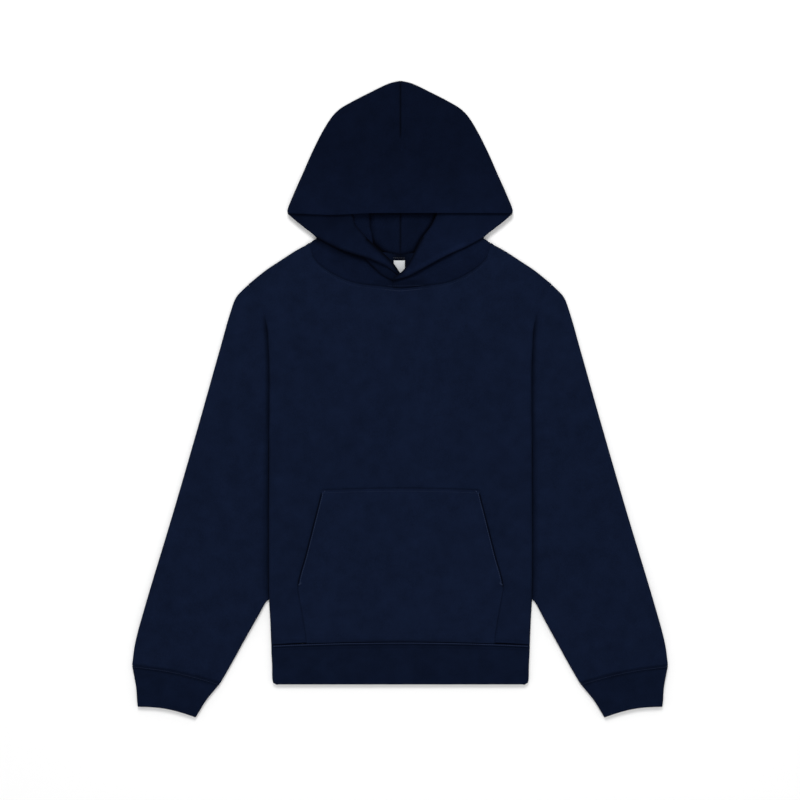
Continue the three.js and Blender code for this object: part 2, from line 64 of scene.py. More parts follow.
# Stands for a point that a grid leaves out
NOTHING = (np.nan,) * 3

# Body and sleeves
HEM_SEAM_Y, HEM_SEAM_SAG, HEM_HALF = -376.2, 5.0, 200.6
HEM_SLOT = 1.2
ARMPIT_Y = -48.0
BODY_LONG = 560
TIP = (235.6, 177.5)
NECK_POINT = (140.5, 241.6)
BACK_NECK_Y = 224.0
# Between the body's side and the sleeve beside it
ARM_GAP = -0.05
# How far the cloth swells away from its side edges, and over what width
SIDE_SWELL, BODY_SWELL_WIDTH, SLEEVE_SWELL_WIDTH = 2.0, 5.0, 15.0
# How far the cuff's seam bows up, and the armhole's share of the sleeve's outer edge
CUFF_BOW, ARMPIT_SHARE = 4.2, 0.325
# Turn of the sleeves' knit, in degrees
SLEEVE_GRAIN = 14.0
# How far below their seams the stitches run, and the ribs' height and pitches
NECK_STITCH, RIB_STITCH, POCKET_STITCH = 5.2, 2.0, 5.2
RIB_HEIGHT, HEM_RIB_PITCH, CUFF_RIB_PITCH = 0.28, 3.1, 3.0
# Half width of the body's outline: y, x
BODY_SIDE = ((-385, 200.6), (-362, 201.4), (-343, 202.2), (-325, 203.3), (-300, 204.4), (-200, 204.8),
             (ARMPIT_Y, 204.2), (43, 204), (81, 205.4), (117, 208.5), (150, 220), (177.5, 235.6))
# Neck seam from the centre to the shoulder: x, y
FRONT_NECK = ((0, 172.6), (38, 176.4), (75, 182.3), (107.7, 197.2), (129.7, 214.5), (138, 228.5), NECK_POINT)
BACK_NECK = ((0, BACK_NECK_Y), (24, 228), (60, 233.5), (100, 237.5), NECK_POINT)
# Shoulder edge: x, y
SHOULDER = (NECK_POINT, (160.9, 230.6), (189.7, 212), (207.4, 200.2), TIP)
# Sleeve edges: x, y
SLEEVE_OUTER = (TIP, (245.3, 167.9), (254.5, 157.6), (262.8, 135.9), (280.6, 73.6), (312.5, -39.7),
                (352.9, -179.2), (394.1, -316.2), (410.9, -378.2), (415.8, -412.6))
SLEEVE_INNER_END = ((203.9, -305), (203.8, -309.6), (204.6, -311.9), (207.2, -313.4), (210.8, -318.5),
                    (217.5, -330.9), (229.4, -352.6), (244.9, -380.5), (260.2, -408.4), (278.8, -440.7))
# Cuff: inner x, inner y, outer x, outer y
CUFF = ((279.0, -441.0, 415.8, -412.9), (288.5, -452.4, 412.3, -431.0), (300.6, -467.3, 409.2, -449.4),
        (310.3, -482.6, 408.1, -467), (317.3, -494.3, 406.9, -477.7))
# Hem band: y, half width, sag at the sides
HEM = ((HEM_SEAM_Y, HEM_HALF, HEM_SEAM_SAG), (-394, 200.1, 3), (-415, 199.2, 1), (-436, 198.6, 0),
       (-441.1, 197, 0), (-442.5, 192.8, 0))
# Pocket: y, half width
POCKET = ((-374.5, 145.5), (-340, 151), (-305, 157.2), (-289, 159.4), (-240, 146.9), (-190, 134.3),
          (-150, 124.1), (-140.5, 121.9))
# Insets of the pocket's outermost columns, for this half width, and the bow of its top
POCKET_EDGE, POCKET_HALF = (0, 0.5, 1.1, 1.8, 2.6, 3.6, 5, 7), 140
POCKET_TOP_BOW, POCKET_TOP_HALF = 3.0, 122.6

# Hood outline from the peak to the corner of the rim: x, y
HOOD_SIDE = ((0.1, 493.8), (17, 489.9), (48.4, 475.1), (76.9, 460.4), (93.6, 450.3), (105.3, 438.7), (120.1, 415.4),
             (136.9, 381.8), (152.4, 346.3), (166, 315.4), (174.9, 291.6), (174.2, 287.5))
# The rim's height, over how far the hood rises to it, and the roll line's bend
RIM_Y, RIM_HIGH, RIM_RISE = 287.5, 13.6, 120.0
FOLD = 1.7
FOLD_BASE = (((139.4, 242.8), (129.8, 249.4), (136, 256.5), (148, 266), (166, 280.5)),
             ((166, 280.5), (165.5, 298), (154, 320)))
FREE_EDGE_END = (((128, 249.4), (141.2, 260.4), (157.5, 272.6), (173.6, 286.4)),
                 ((173.6, 286.4), (173.6, 294), (163, 317)))
# Where the stand turns under the body, and where the upper half's lift fades
JOIN_STEP, JOIN_DEPTH = 0.06, 4.0
LIFT_NEAR, LIFT_FAR = 15.0, 45.0
# Each half's front: how far it crosses, how high it lies, its roll line and its free edge: x, y
FRONT_EDGES = {
    "left": {
        "cross": 8, "lift": 0, "perk": ((-8, 75, 1.7), (36, 88, 3.0)),
        "roll": (((-7, 184), (1, 196), (13.2, 213.3), (34.3, 233.1), (50, 247)),
                 ((50, 247), (69, 269), (74, 285)), ((74, 285), (79, 302), (85, 320))),
        "free": ((-6, 180.5), (3, 190.5), (22.5, 205), (45.6, 215.6), (91.7, 231), (128, 249.4)),
    },
    "right": {
        "cross": 12, "lift": 6.4, "perk": ((24, 78, 2.2),),
        "roll": (((-11, 188), (2, 197), (12.9, 210.8), (22.8, 229.4), (33, 249)),
                 ((33, 249), (48.8, 270.3), (55, 284)), ((55, 284), (62, 301), (70, 320))),
        "free": ((-12, 183.5), (12.4, 189.7), (42, 205.8), (74.4, 223.2), (101.5, 235.2), (128, 249.4)),
    },
}
# The turned-in edge that shows under the left flap: upper x, y, lower x, y
TURNED_EDGE = ((-58, 226, -52, 214), (-50, 222, -44.5, 206.5), (-40, 217, -38, 200), (-31, 211, -29.8, 192.6),
               (-21, 206, -19.8, 187.2), (-12, 200, -11.6, 183.4), (-4, 194, -5, 181.5))
TURNED_HIGH, TURNED_WALL = 8.55, 1.2
# The hem inside the hood's rim: depth and wall
RIM_HEM, RIM_HEM_WALL = 24.0, 1.4
# The fold of cloth inside the hood beside the left roll: outer x, y, inner x, y
INNER_FOLD = ((-46, 238, -42.5, 240), (-54, 246, -42.9, 244.3), (-66, 258, -44.4, 256.7), (-80, 268, -47.3, 266.6),
              (-86, 280, -47.9, 277.8), (-92, 298, -49, 298))
INNER_FOLD_HIGH, INNER_FOLD_WALL = 3.8, 1.4
# The hood's inside face lies below this height and this y, and keeps this share of its colour under an even painted
# shade for the shadow inside the hood
INSIDE_BELOW, INSIDE_BELOW_Y, INSIDE_PAINTED_SHADE_KEEP = 6.2, 330, 0.84
# How far the inner back and the collar band swell between their edges
INNER_SWELL, BAND_SWELL = 2.8, 1.25
# A stitch's rings: place along it and girth
STITCH_RINGS = ((-1.0, 0.15), (-0.82, 0.7), (-0.4, 1.0), (0.4, 1.0), (0.82, 0.7), (1.0, 0.15))
STITCH_SIDES = 6
LABEL = {"left": -10.5, "right": 6.8, "top": 215.0, "bottom": 189.0}

# Painted shade beside edges, rolls and seams, where shadow falls; a negative strength paints a highlight. Columns:
# plan points, strength, width on the way's left and on its right
STAND_SHADE = (((-34, 179), (34, 181)), 0.24, 6.0)
RIM_LINE = ((60, RIM_Y), (172, RIM_Y))
FLAP_SHADES = {
    "left": ((FRONT_EDGES["left"]["free"], 0.62, 3.0, 7.5), STAND_SHADE,
             (FRONT_EDGES["left"]["roll"][0], 0.84, 3.4, 4.4), (FRONT_EDGES["left"]["roll"][1], 0.5, 2.0, 2.4),
             (RIM_LINE, 0.3, 3.0, 40.0), ([(-x, y) for _, _, x, y in TURNED_EDGE], 0.5, 2.4)),
    "right": ((FRONT_EDGES["right"]["free"], 0.45, 1.6, 3.2), STAND_SHADE,
              (FRONT_EDGES["right"]["roll"][0], 0.78, 3.4), (FRONT_EDGES["right"]["roll"][1], 0.45, 2.0, 2.2),
              # Negative strengths: painted highlights on the right flap and beside its edge
              (RIM_LINE, 0.3, 3.0), (((62, 240), (112, 254)), -0.2, 20.0),
              (((8, 194.5), (39.5, 210.5), (72, 227.8), (99, 239.8)), -0.22, 3.2)),
}
# The same painted shade for the hood's inside
INNER_SHADES = {
    "left": (((7, 184), (13.2, 213.3), (34.3, 233.1), (43, 241)), 0.8, 6.5, 4.0),
    "crease": (((41.7, 244.3), (46.2, 259.8), (47.6, 282)), 0.5, 2.4, 1.0),
    "right": (((12.9, 210.8), (22.8, 229.4), (33, 249), (48.8, 270.3), (55, 284)), 0.6, 4.4, 4.0),
    "arc": (((0, 224), (24, 228), (60, 233.5)), 0.4, 1.8),
    "rim": (((0, RIM_Y), (90, RIM_Y)), 0.5, 2.2),
    "seam": (((0, 224), (0, 290)), 0.28, 1.6),
}

# Soft folds of the upper layer: start x, y, end x, y, half width, height (troughs are negative)
FOLDS = (
    (196, -70, 118, -34, 13, -0.9), (188, -40, 96, 22, 15, 0.8), (192, 14, 128, 66, 16, -0.6),
    (-196, -66, -124, -22, 12, -0.8), (-190, -32, -84, 20, 16, 0.9), (-192, 30, -140, 84, 15, -0.6),
    (120, 148, 66, 92, 18, -0.5), (-126, 152, -60, 84, 19, -0.5), (40, 120, 58, -70, 26, 0.5),
    (-52, 96, -30, -96, 24, -0.5), (180, -200, 172, -318, 12, -0.6), (-181, -160, -174, -300, 12, -0.5),
    (238, 120, 262, 20, 13, -0.8), (226, 60, 246, -60, 12, 0.7), (262, -20, 284, -130, 15, -0.8),
    (236, -150, 300, -196, 12, 0.8), (246, -186, 318, -232, 13, -0.9), (280, -262, 344, -282, 14, 0.7),
    (262, -306, 352, -330, 12, -0.8), (300, -362, 386, -348, 12, 0.7), (296, -404, 372, -384, 9, -0.7),
    (-240, 116, -258, 34, 13, -0.7), (-228, 48, -250, -78, 13, 0.7), (-258, -10, -290, -122, 15, -0.9),
    (-238, -140, -296, -180, 12, 0.7), (-244, -196, -322, -240, 13, -0.8), (-276, -270, -350, -292, 14, 0.8),
    (-266, -318, -356, -338, 12, -0.8), (-306, -366, -384, -352, 12, 0.6), (-300, -408, -380, -386, 9, -0.6),
    (-96, 330, -20, 352, 18, 0.8), (30, 318, 110, 338, 18, 0.7), (-60, 392, -112, 356, 16, -0.8),
    (70, 396, 120, 350, 16, -0.7), (-20, 430, -70, 440, 13, 0.5), (24, 444, 66, 430, 12, 0.5),
)
# Soft hollows of the layer below, where it lifts from the floor: start x, y, end x, y, half width, height
UNDER_FOLDS = (
    (-150, -60, -60, 10, 15, 0.9), (160, -20, 90, 70, 14, 0.8), (-40, 130, 60, 170, 17, 0.7),
    (30, -90, -50, -180, 20, 0.6), (120, -230, 150, -330, 13, 0.8), (-130, -250, -70, -340, 15, 0.9),
    (90, 200, 140, 160, 12, 0.7), (240, 90, 268, -20, 12, 0.8), (250, -110, 300, -190, 13, 0.9),
    (280, -250, 350, -290, 13, 0.8), (-236, 70, -262, -60, 13, 0.9), (-256, -150, -320, -220, 12, 0.8),
    (-290, -300, -352, -350, 14, 0.8), (-90, 330, -20, 400, 17, 0.9), (60, 320, 90, 400, 15, 0.8),
    (-20, 440, 40, 450, 12, 0.6),
)

# Colours, in linear light
NAVY = (0.0041, 0.0080, 0.0236)
# The hood's fleece is a darker copy of the body's: painted shade
NAVY_HOOD_SHADED = (0.0029, 0.0058, 0.0184)
NAVY_RIB = (0.0031, 0.0062, 0.0186)
# Navy threads made lighter than the cloth, and a lighter copy for the hem and the pocket mouths: painted highlights
# on the stitches
THREAD = (0.0100, 0.0175, 0.046)
THREAD_HIGHLIGHT = (0.0175, 0.0285, 0.070)
THREAD_LABEL = (0.16, 0.17, 0.19)
LABEL_WHITE = (0.56, 0.575, 0.59)


def smooth(low, high, value):
    share = np.clip((value - low) / (high - low), 0.0, 1.0)
    return share * share * (3 - 2 * share)


def hump(away, width):
    return math.exp(-((away / width) ** 2))


def unit(way):
    return way / max(np.linalg.norm(way), 1e-9)


def between(a, b, at_a, at_b, at):
    return (a * (at_b - at) + b * (at - at_a)) / (at_b - at_a)


def curve_points(rows, steps=24):
    """Points of a smooth plan curve through a table's rows."""
    rows = np.array(rows, float)
    padded = np.vstack((2 * rows[0] - rows[1], rows, 2 * rows[-1] - rows[-2]))
    knots = np.concatenate(([0], np.cumsum(np.linalg.norm(np.diff(padded, axis=0), axis=1) ** 0.5)))
    out = [rows[0]]
    for i in range(1, len(padded) - 2):
        k, p = knots[i - 1:i + 3], padded[i - 1:i + 3]
        for at in np.linspace(k[1], k[2], steps + 1)[1:]:
            a = [between(p[j], p[j + 1], k[j], k[j + 1], at) for j in range(3)]
            b = [between(a[j], a[j + 1], k[j], k[j + 2], at) for j in range(2)]
            out.append(between(*b, k[1], k[2], at))
    return np.array(out)


class Line:
    """A plan line read by the share of its length."""

    def __init__(self, rows, curved=True):
        self.points = curve_points(rows) if curved else np.array(rows, float)
        steps = np.linalg.norm(np.diff(self.points, axis=0), axis=1)
        self.length = steps.sum()
        self.shares = np.concatenate(([0], np.cumsum(steps))) / self.length

    def at(self, share):
        return np.array([np.interp(share, self.shares, self.points[:, i]) for i in (0, 1)])

    def along(self, share, step=0.01):
        return unit(self.at(min(share + step, 1)) - self.at(max(share - step, 0)))

    def inward(self, share, blend, step=0.01):
        """Way into the cloth from its outer edge, straight down where the blend is 1."""
        way = self.along(share, step)
        return unit(np.array((way[1], -way[0])) * (1 - blend) + np.array((0.0, -1.0)) * blend)


def height_of(line):
    """Height of a plan line that is the same on both sides."""
    return lambda x: np.interp(abs(x), line[:, 0], line[:, 1])


FRONT_NECK_LINE, BACK_NECK_LINE, SHOULDER_LINE = map(curve_points, (FRONT_NECK, BACK_NECK, SHOULDER))
SIDE_LINE, POCKET_LINE = curve_points(BODY_SIDE), curve_points(POCKET, 9)
ROLL_LINES = {name: np.vstack([curve_points(rows) for rows in edges["roll"]])
              for name, edges in FRONT_EDGES.items()}
front_neck_y, back_neck_y, shoulder_y = map(height_of, (FRONT_NECK_LINE, BACK_NECK_LINE, SHOULDER_LINE))


def body_half(y):
    return np.interp(y, SIDE_LINE[:, 0], SIDE_LINE[:, 1])


def hem_seam_y(x):
    return HEM_SEAM_Y - HEM_SEAM_SAG * (x / HEM_HALF) ** 2


def pocket_top_y(x):
    return POCKET[-1][0] + POCKET_TOP_BOW * (1 - (x / POCKET_TOP_HALF) ** 2)


def pocket_edge(side, low, high, inset):
    return [(side * (half - inset), y) for y, half in POCKET_LINE if low <= y <= high]


def seam_line(height, start, end, count, below=0.0):
    """Points this far below a seam."""
    return [(x, height(x) - below) for x in np.linspace(start, end, count)]


def cuff_line(side, away, count=12):
    """Points this far below a cuff's seam."""
    inner, outer = np.array(CUFF[0][:2]), np.array(CUFF[0][2:])
    across = outer - inner
    up = unit(np.array((-across[1], across[0])))
    rows = [inner + across * share - up * away + np.array((0, CUFF_BOW * math.sin(math.pi * share)))
            for share in np.linspace(0.02, 0.98, count)]
    return [(side * x, y) for x, y in rows]


def armhole_y(share):
    top = TIP[1] - WALL / 2 - ROLL
    return top + (ARMPIT_Y - top) * share


def crevice_at(y):
    return CREVICE * (1 - smooth(108, 140, y)) + 0.12


def roll_drop(distance):
    return 0.0 if distance >= ROLL else ROLL - math.sqrt(max(ROLL ** 2 - (ROLL - distance) ** 2, 0.0))


def soft_folds(folds, x, y):
    height = 0.0
    for x0, y0, x1, y1, half, rise in folds:
        dx, dy = x1 - x0, y1 - y0
        length = math.hypot(dx, dy)
        along = ((x - x0) * dx + (y - y0) * dy) / length ** 2
        if not -0.4 < along < 1.4:
            continue
        away = abs((x - x0) * dy - (y - y0) * dx) / length
        if away > 3 * half:
            continue
        ends = smooth(-0.35, 0.3, along) * (1 - smooth(0.65, 1.35, along))
        height += rise * ends * hump(away, half)
    return height


def fold_relief(x, y):
    """Height that the soft folds and the cloth's own unevenness add to the upper layer."""
    height = soft_folds(FOLDS, x, y)
    for pitch, rise, level in ((95, 0.55, 3.0), (38, 0.22, 11.0), (15, 0.07, 23.0)):
        height += rise * noise.noise(Vector((x / pitch, y / pitch, level)))
    return height


def under_relief(x, y):
    """Height by which the layer below lifts off the floor."""
    return max(soft_folds(UNDER_FOLDS, x, y) + 0.25 * noise.noise(Vector((x / 60, y / 60, 31.0))), 0.0)


def drift(x, y):
    """How far the sleeves, the shoulders and the hood lie off the middle."""
    beside = smooth(60, 130, np.abs(x)) * smooth(120, 200, y)
    return -0.7 * np.maximum(smooth(206, 240, np.abs(x)), beside)


def pucker(x, y):
    """Small waves where the hem seam draws the fleece in."""
    away = y - hem_seam_y(x)
    if not 0 <= away < 16 or abs(x) > HEM_HALF + 4:
        return 0.0
    wave = noise.noise(Vector((x / 8.5, 0.0, 5.0))) * 0.55
    return wave * math.exp(-away / 6) - 0.3 * hump(away - 4.6, 1.3)


def grid_faces(grid, closed):
    rows, columns = grid.shape[:2]
    there = ~np.isnan(grid[:, :, 0])
    index = np.arange(rows * columns).reshape(rows, columns)
    after = np.roll(index, -1, axis=1) if closed else index[:, 1:]
    here = index if closed else index[:, :-1]
    loops = np.stack((here[:-1], after[:-1], after[1:], here[1:]), axis=-1).reshape(-1, 4)
    return loops[there.ravel()[loops].all(axis=1)]


def vertex_normals(points, loops):
    a, b, c, d = (points[loops[:, i]] for i in range(4))
    side = np.cross(c - a, d - b)
    normals = np.zeros_like(points)
    for i in range(4):
        np.add.at(normals, loops[:, i], side)
    return normals / np.maximum(np.linalg.norm(normals, axis=1, keepdims=True), 1e-12)


def wall_mesh(points, loops, wall, round_at):
    """A closed wall about a middle surface, with rounded ends. round_at gives an end's depth."""
    used = np.unique(loops)
    renumber = np.full(len(points), -1)
    renumber[used] = np.arange(len(used))
    points, loops = points[used], renumber[loops]
    normals = vertex_normals(points, loops)
    count = len(points)
    starts, ends = loops.ravel().tolist(), np.roll(loops, -1, axis=1).ravel().tolist()
    known = set(zip(starts, ends))
    edges = np.array([(a, b) for a, b in zip(starts, ends) if (b, a) not in known])
    ways = points[edges[:, 1]] - points[edges[:, 0]]
    ways /= np.maximum(np.linalg.norm(ways, axis=1, keepdims=True), 1e-9)
    outward = np.zeros_like(points)
    for i in edges.T:
        np.add.at(outward, i, np.cross(ways, normals[i]))
    rim = np.unique(edges)
    place = np.zeros(count, int)
    place[rim] = np.arange(len(rim))
    out = outward[rim] / np.maximum(np.linalg.norm(outward[rim], axis=1, keepdims=True), 1e-9)
    depth = np.array([round_at(point) for point in points[rim]])[:, None]
    lift = normals * wall / 2
    middle = points.copy()
    middle[rim] -= out * depth
    rings = [middle[rim] + out * depth * math.cos(turn) + lift[rim] * math.sin(turn)
             for turn in np.radians(END_TURNS)]
    steps = [edges, *(2 * count + i * len(rim) + place[edges] for i in range(len(rings))), edges + count]
    sides = [np.column_stack((a[:, 0], b[:, 0], b[:, 1], a[:, 1])) for a, b in zip(steps, steps[1:])]
    area = 0.5 * np.linalg.norm(np.cross(points[loops[:, 2]] - points[loops[:, 0]],
                                         points[loops[:, 3]] - points[loops[:, 1]]), axis=1).sum()
    vertices = np.vstack((middle + lift, middle - lift, *rings))
    return vertices, np.vstack((loops, loops[:, ::-1] + count, *sides)), area


def add_object(name, vertices, faces, material):
    """A smooth mesh object that rides on the body."""
    mesh = bpy.data.meshes.new(name)
    mesh.from_pydata((np.array(vertices) * MM).tolist(), [], faces)
    mesh.validate()
    mesh.update()
    mesh.shade_smooth()
    mesh.materials.append(material)
    piece = bpy.data.objects.new(name, mesh)
    bpy.context.scene.collection.objects.link(piece)
    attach(piece, BODY)
    return piece


def keep_value(mesh, name, kind, values):
    """Keeps a number or a vector at each of a mesh's points, for its material."""
    field = "vector" if kind == "FLOAT_VECTOR" else "value"
    mesh.attributes.new(name, kind, "POINT").data.foreach_set(field, values.ravel())


def lines_shade(*lines):
    """Painted shade beside plan lines, where shadow falls, each with its points, strength, width on the left and on
    the right if another.
    """
    def shade(at):
        keep = np.ones(len(at))
        for points, strength, left, *other in lines:
            points, right = np.array(points, float), other[0] if other else left
            start, way = points[:-1], np.diff(points, axis=0)
            to = at[:, None, :2] - start
            share = np.clip((to * way).sum(2) / np.maximum((way ** 2).sum(1), 1e-9), 0, 1)
            away = np.linalg.norm(to - share[:, :, None] * way, axis=2)
            near, every = away.argmin(1), np.arange(len(at))
            turn = way[near, 0] * to[every, near, 1] - way[near, 1] * to[every, near, 0]
            keep *= 1 - strength * np.exp(-(away[every, near] / np.where(turn > 0, left, right)) ** 2)
        return 1 - keep
    return shade


# Painted shade in the armhole crevice between the body and a sleeve
def crevice_shade(strength, width):
    def shade(at):
        away = np.abs(np.abs(at[:, 0]) - body_half(at[:, 1]))
        beside = (1 - smooth(108, 140, at[:, 1])) * smooth(-318, -306, at[:, 1])
        return strength * np.exp(-(away / width) ** 2) * beside
    return shade


def together(*shades):
    return lambda at: 1 - math.prod(1 - shade(at) for shade in shades)


# An even painted shade over a whole part; a negative strength paints it lighter
def even_shade(strength):
    return lambda at: np.full(len(at), strength)


def on_side(side, shade):
    return lambda at: shade(at * (side, 1, 1))


def relief_of(grid, low, high, relief, under=under_relief):
    """Moves both layers' points by their relief, fading to none where the cloth turns over."""
    middle = (low + high) / 2
    for point in grid.reshape(-1, 3):
        if not np.isnan(point[0]):
            share = min(abs(point[2] - middle) / (high - middle), 1.0)
            point[2] += (relief if point[2] > middle else under)(point[0], point[1]) * share


def cloth(node, parts, material, flat, grain=0.0, name=None):
    """One cloth piece from parts, each with its grid, closed or not, wall, rounding of its ends and painted shade.
    """
    all_vertices, all_faces, painted_shades, total, count = [], [], [], 0.0, 0
    for grid, closed, wall, round_at, shade in parts:
        vertices, faces, area = wall_mesh(grid.reshape(-1, 3), grid_faces(grid, closed), wall, round_at)
        vertices[:, 2] = np.maximum(vertices[:, 2], 0.0)
        painted_shades.append(shade(vertices))
        vertices[:, 0] += drift(vertices[:, 0], vertices[:, 1])
        all_vertices.append(vertices)
        all_faces.append(faces + count)
        count += len(vertices)
        total += area
    vertices, faces = np.vstack(all_vertices), np.vstack(all_faces).tolist()
    piece = add_object(name or f"{node}_cloth", vertices, faces, material)
    mesh = piece.data
    mesh.set_sharp_from_angle(angle=math.radians(SHARP_ANGLE))
    x, y, z = np.array([v.co for v in mesh.vertices]).T
    cos, sin = math.cos(math.radians(grain)), math.sin(math.radians(grain))
    keep_value(mesh, "grain", "FLOAT_VECTOR", np.stack((x * cos + y * sin, y * cos - x * sin, z), axis=1))
    # Painted shade kept at each point, which darkens the colour in the material
    keep_value(mesh, "painted_shade", "FLOAT", np.concatenate(painted_shades))
    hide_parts(node)
    return piece


def mirrored(grid, side):
    grid = grid.copy()
    grid[:, :, 0] *= side
    return grid


def even_end(depth):
    return lambda point: depth


def body_panel(is_front):
    """Middle surface of the front or the back."""
    neck_line, neck_y = (FRONT_NECK_LINE, front_neck_y) if is_front else (BACK_NECK_LINE, back_neck_y)
    insets = np.concatenate((ROLL * (1 - np.cos(np.radians((0, 12, 24, 36, 48, 60, 75, 90)))),
                             ROLL + np.array((0.9, 1.9, 3.1, 4.7, 7.0))))[::-1]
    top_x = TIP[0] - WALL / 2
    neck, shoulder = Line(neck_line, curved=False), Line(SHOULDER_LINE, curved=False)
    half = [(neck.at(s)[0] / top_x, 0.0, True) for s in np.linspace(0, 1, 36)]
    half += [(shoulder.at(s)[0] / top_x, 0.0, False) for s in np.linspace(0, 1, 19)[1:-1]]
    half += [(1.0, inset, False) for inset in insets]
    columns = [(*c, -1) for c in half[:0:-1]] + [(*c, 1) for c in half]
    near_hem = np.array((0, 0.8, 1.6, 2.6, 3.6, 4.6, 5.6, 7, 9, 12)) / BODY_LONG
    rises = np.concatenate((near_hem, np.linspace(16 / BODY_LONG, 1, 117)[:-3]))
    levels = [(rise, 0.0) for rise in rises] + [(1.0, inset) for inset in insets]
    grid = np.zeros((len(levels), len(columns), 3))
    for i, (rise, top_inset) in enumerate(levels):
        for j, (share, inset, at_neck, side) in enumerate(columns):
            slot = HEM_SLOT * (1 - smooth(184, 194, share * HEM_HALF)) if is_front else 0.0
            low_y = hem_seam_y(share * HEM_HALF) + max(slot, SEAM_GAP / 2)
            tip_x = share * top_x - (inset if share == 1 else 0)
            high_y = neck_y(tip_x) if at_neck else shoulder_y(tip_x) - WALL / 2
            y = low_y + (high_y - low_y) * rise - top_inset
            edge_x = min(body_half(y) - WALL / 2, top_x)
            x = share * (edge_x - (0 if share == 1 else insets[0])) - inset
            if share < 1:
                blend = smooth(TIP[1] - 60, TIP[1], y)
                x = x * (1 - blend) + tip_x * blend
            from_side = edge_x - x
            side_roll = roll_drop(from_side) * (1 - smooth(ARMPIT_Y - 20, ARMPIT_Y, y))
            sink = (BODY_EDGE_SINK * crevice_at(y) if is_front else 0.1) * smooth(ARMPIT_Y, ARMPIT_Y + 16, y)
            sink *= 1 - smooth(0, BODY_EDGE_WIDTH, from_side)
            top_roll = 0.0 if at_neck else roll_drop(max(high_y - y, 0.0))
            drop = min(max(side_roll, top_roll, sink), ROLL - EDGE_SHORT)
            grid[i, j] = side * x, y, (HIGH - drop if is_front else LOW + drop)
    return grid


def laid_band(rows, columns, wall, lay, puff=0.0, crowd=1.0):
    """Middle surface of a band that lies flat and turns over at its edges. An open row has no inner turn, and a
    row with its lower layer only has no outer turn."""
    low = wall / 2
    shares = np.linspace(0, 1, columns + 1) ** crowd
    grid = []
    for i, row in enumerate(rows):
        before, after = rows[max(i - 1, 0)], rows[min(i + 1, len(rows) - 1)]
        high = row.get("high", lay - wall / 2)
        roll, middle = (high - low) / 2, (high + low) / 2
        is_open, lower_only, sink = row.get("open"), row.get("lower_only"), row.get("sink", 0.0)

        def inward(name, sign):
            way = unit(after[name] - before[name])
            return np.array((sign * way[1], -sign * way[0]))

        def turned(name, into, angle, sink=0.0):
            angle = math.radians(angle)
            spot = row[name] + into * (wall / 2 + (roll - sink / 2) * (1 - math.cos(angle)))
            return (*spot, middle - sink / 2 + (roll - sink / 2) * math.sin(angle))

        across = unit(row["outer"] - row["inner"])
        inner_in = across if row.get("seam") else inward("inner", -1)
        outer_in = -across if row.get("seam") else row.get("outer_in", inward("outer", 1))
        start = row["inner"] if is_open else np.array(turned("inner", inner_in, 90, sink)[:2])
        stop = row["outer"] if lower_only else np.array(turned("outer", outer_in, 90)[:2])
        width = np.linalg.norm(stop - start)
        upper, lower = [], []
        for share in shares:
            x, y = row["path"](share) if "path" in row else start + (stop - start) * share
            y += row.get("bow", 0.0) * math.sin(math.pi * share)
            rise = puff * math.sin(math.pi * share) ** 0.7 * min(width / 60, 1) * row.get("puff", 1)
            rise += row.get("ridge", 0.0) - sink * (1 - smooth(0, CREVICE_WIDTH, share * width))
            upper.append(NOTHING if lower_only else (x, y, high + rise))
            lower.append((x, y, low))
        inner = [NOTHING if is_open else turned("inner", inner_in, a, sink) for a in EDGE_TURNS]
        outer = [NOTHING if lower_only else turned("outer", outer_in, -a) for a in EDGE_TURNS]
        grid.append([*inner[5:], *upper, *outer, *lower[::-1], *inner[:5]])
    return np.array(grid, float)


def sleeve_grid():
    outer = Line(((TIP[0] - WALL / 2 + 0.1, TIP[1]), *SLEEVE_OUTER[1:]))
    beside_body = [(body_half(y) + ARM_GAP - 2.9 * (1 - smooth(0, 20, ARMPIT_Y - y)), y)
                   for y in (*np.linspace(ARMPIT_Y - 1, ARMPIT_Y - 21, 6), *np.linspace(-90, -298, 9))]
    inner = Line((*beside_body, *SLEEVE_INNER_END))
    rows = []
    for share in (*np.linspace(0, 0.12, 8)[:-1], *np.linspace(0.12, 0.997, 30)):
        y, down = armhole_y(share), share * ARMPIT_SHARE
        rows.append({"inner": np.array((body_half(y) - WALL / 2 + SEAM_GAP, y)), "outer": outer.at(down),
                     "outer_in": outer.inward(down, 1 - smooth(0, 0.2, share)),
                     "open": True, "sink": crevice_at(y)})
    by_cuff = 1 - np.array((6, 4.4, 3, 2, 1.2, 0.6, 0)) / inner.length
    by_arch = (*np.linspace(0, 0.6, 44), *np.linspace(0.603, 0.69, 30), *np.linspace(0.7, 0.975, 26))
    for share in (*by_arch, *by_cuff):
        spot = inner.at(share)
        rows.append({"inner": spot, "outer": outer.at(ARMPIT_SHARE + (1 - ARMPIT_SHARE) * share),
                     "bow": CUFF_BOW * share ** 3, "seam": share == 1, "puff": 1 - 0.7 * share ** 6,
                     "sink": 2.4 * (1 - smooth(298, 330, -spot[1])),
                     "ridge": -hump((1 - share) * inner.length, 1.5)})
    return laid_band(rows, 50, WALL, LAY, puff=0.8, crowd=1.5)


def band_shares(length):
    """Shares of a band's length, close together by its seam."""
    near = np.arange(0, 8, 0.8)
    return np.concatenate((near, np.linspace(8, length, round((length - 8) / 3)))) / length


def seam_ridge(away):
    """Ridge and groove that the cover seam makes below its edge."""
    return 0.9 * hump(away - 1.9, 1.1) - 1.1 * hump(away - 4.8, 1.1)


def cuff_grid():
    table = np.array(CUFF)
    inner, outer = Line(table[:, :2]), Line(table[:, 2:])
    rows = [{"inner": inner.at(s), "outer": outer.at(s), "bow": CUFF_BOW, "seam": s == 0,
             "ridge": seam_ridge(s * inner.length)} for s in band_shares(inner.length)]
    return laid_band(rows, 132, RIB_WALL, RIB_LAY)


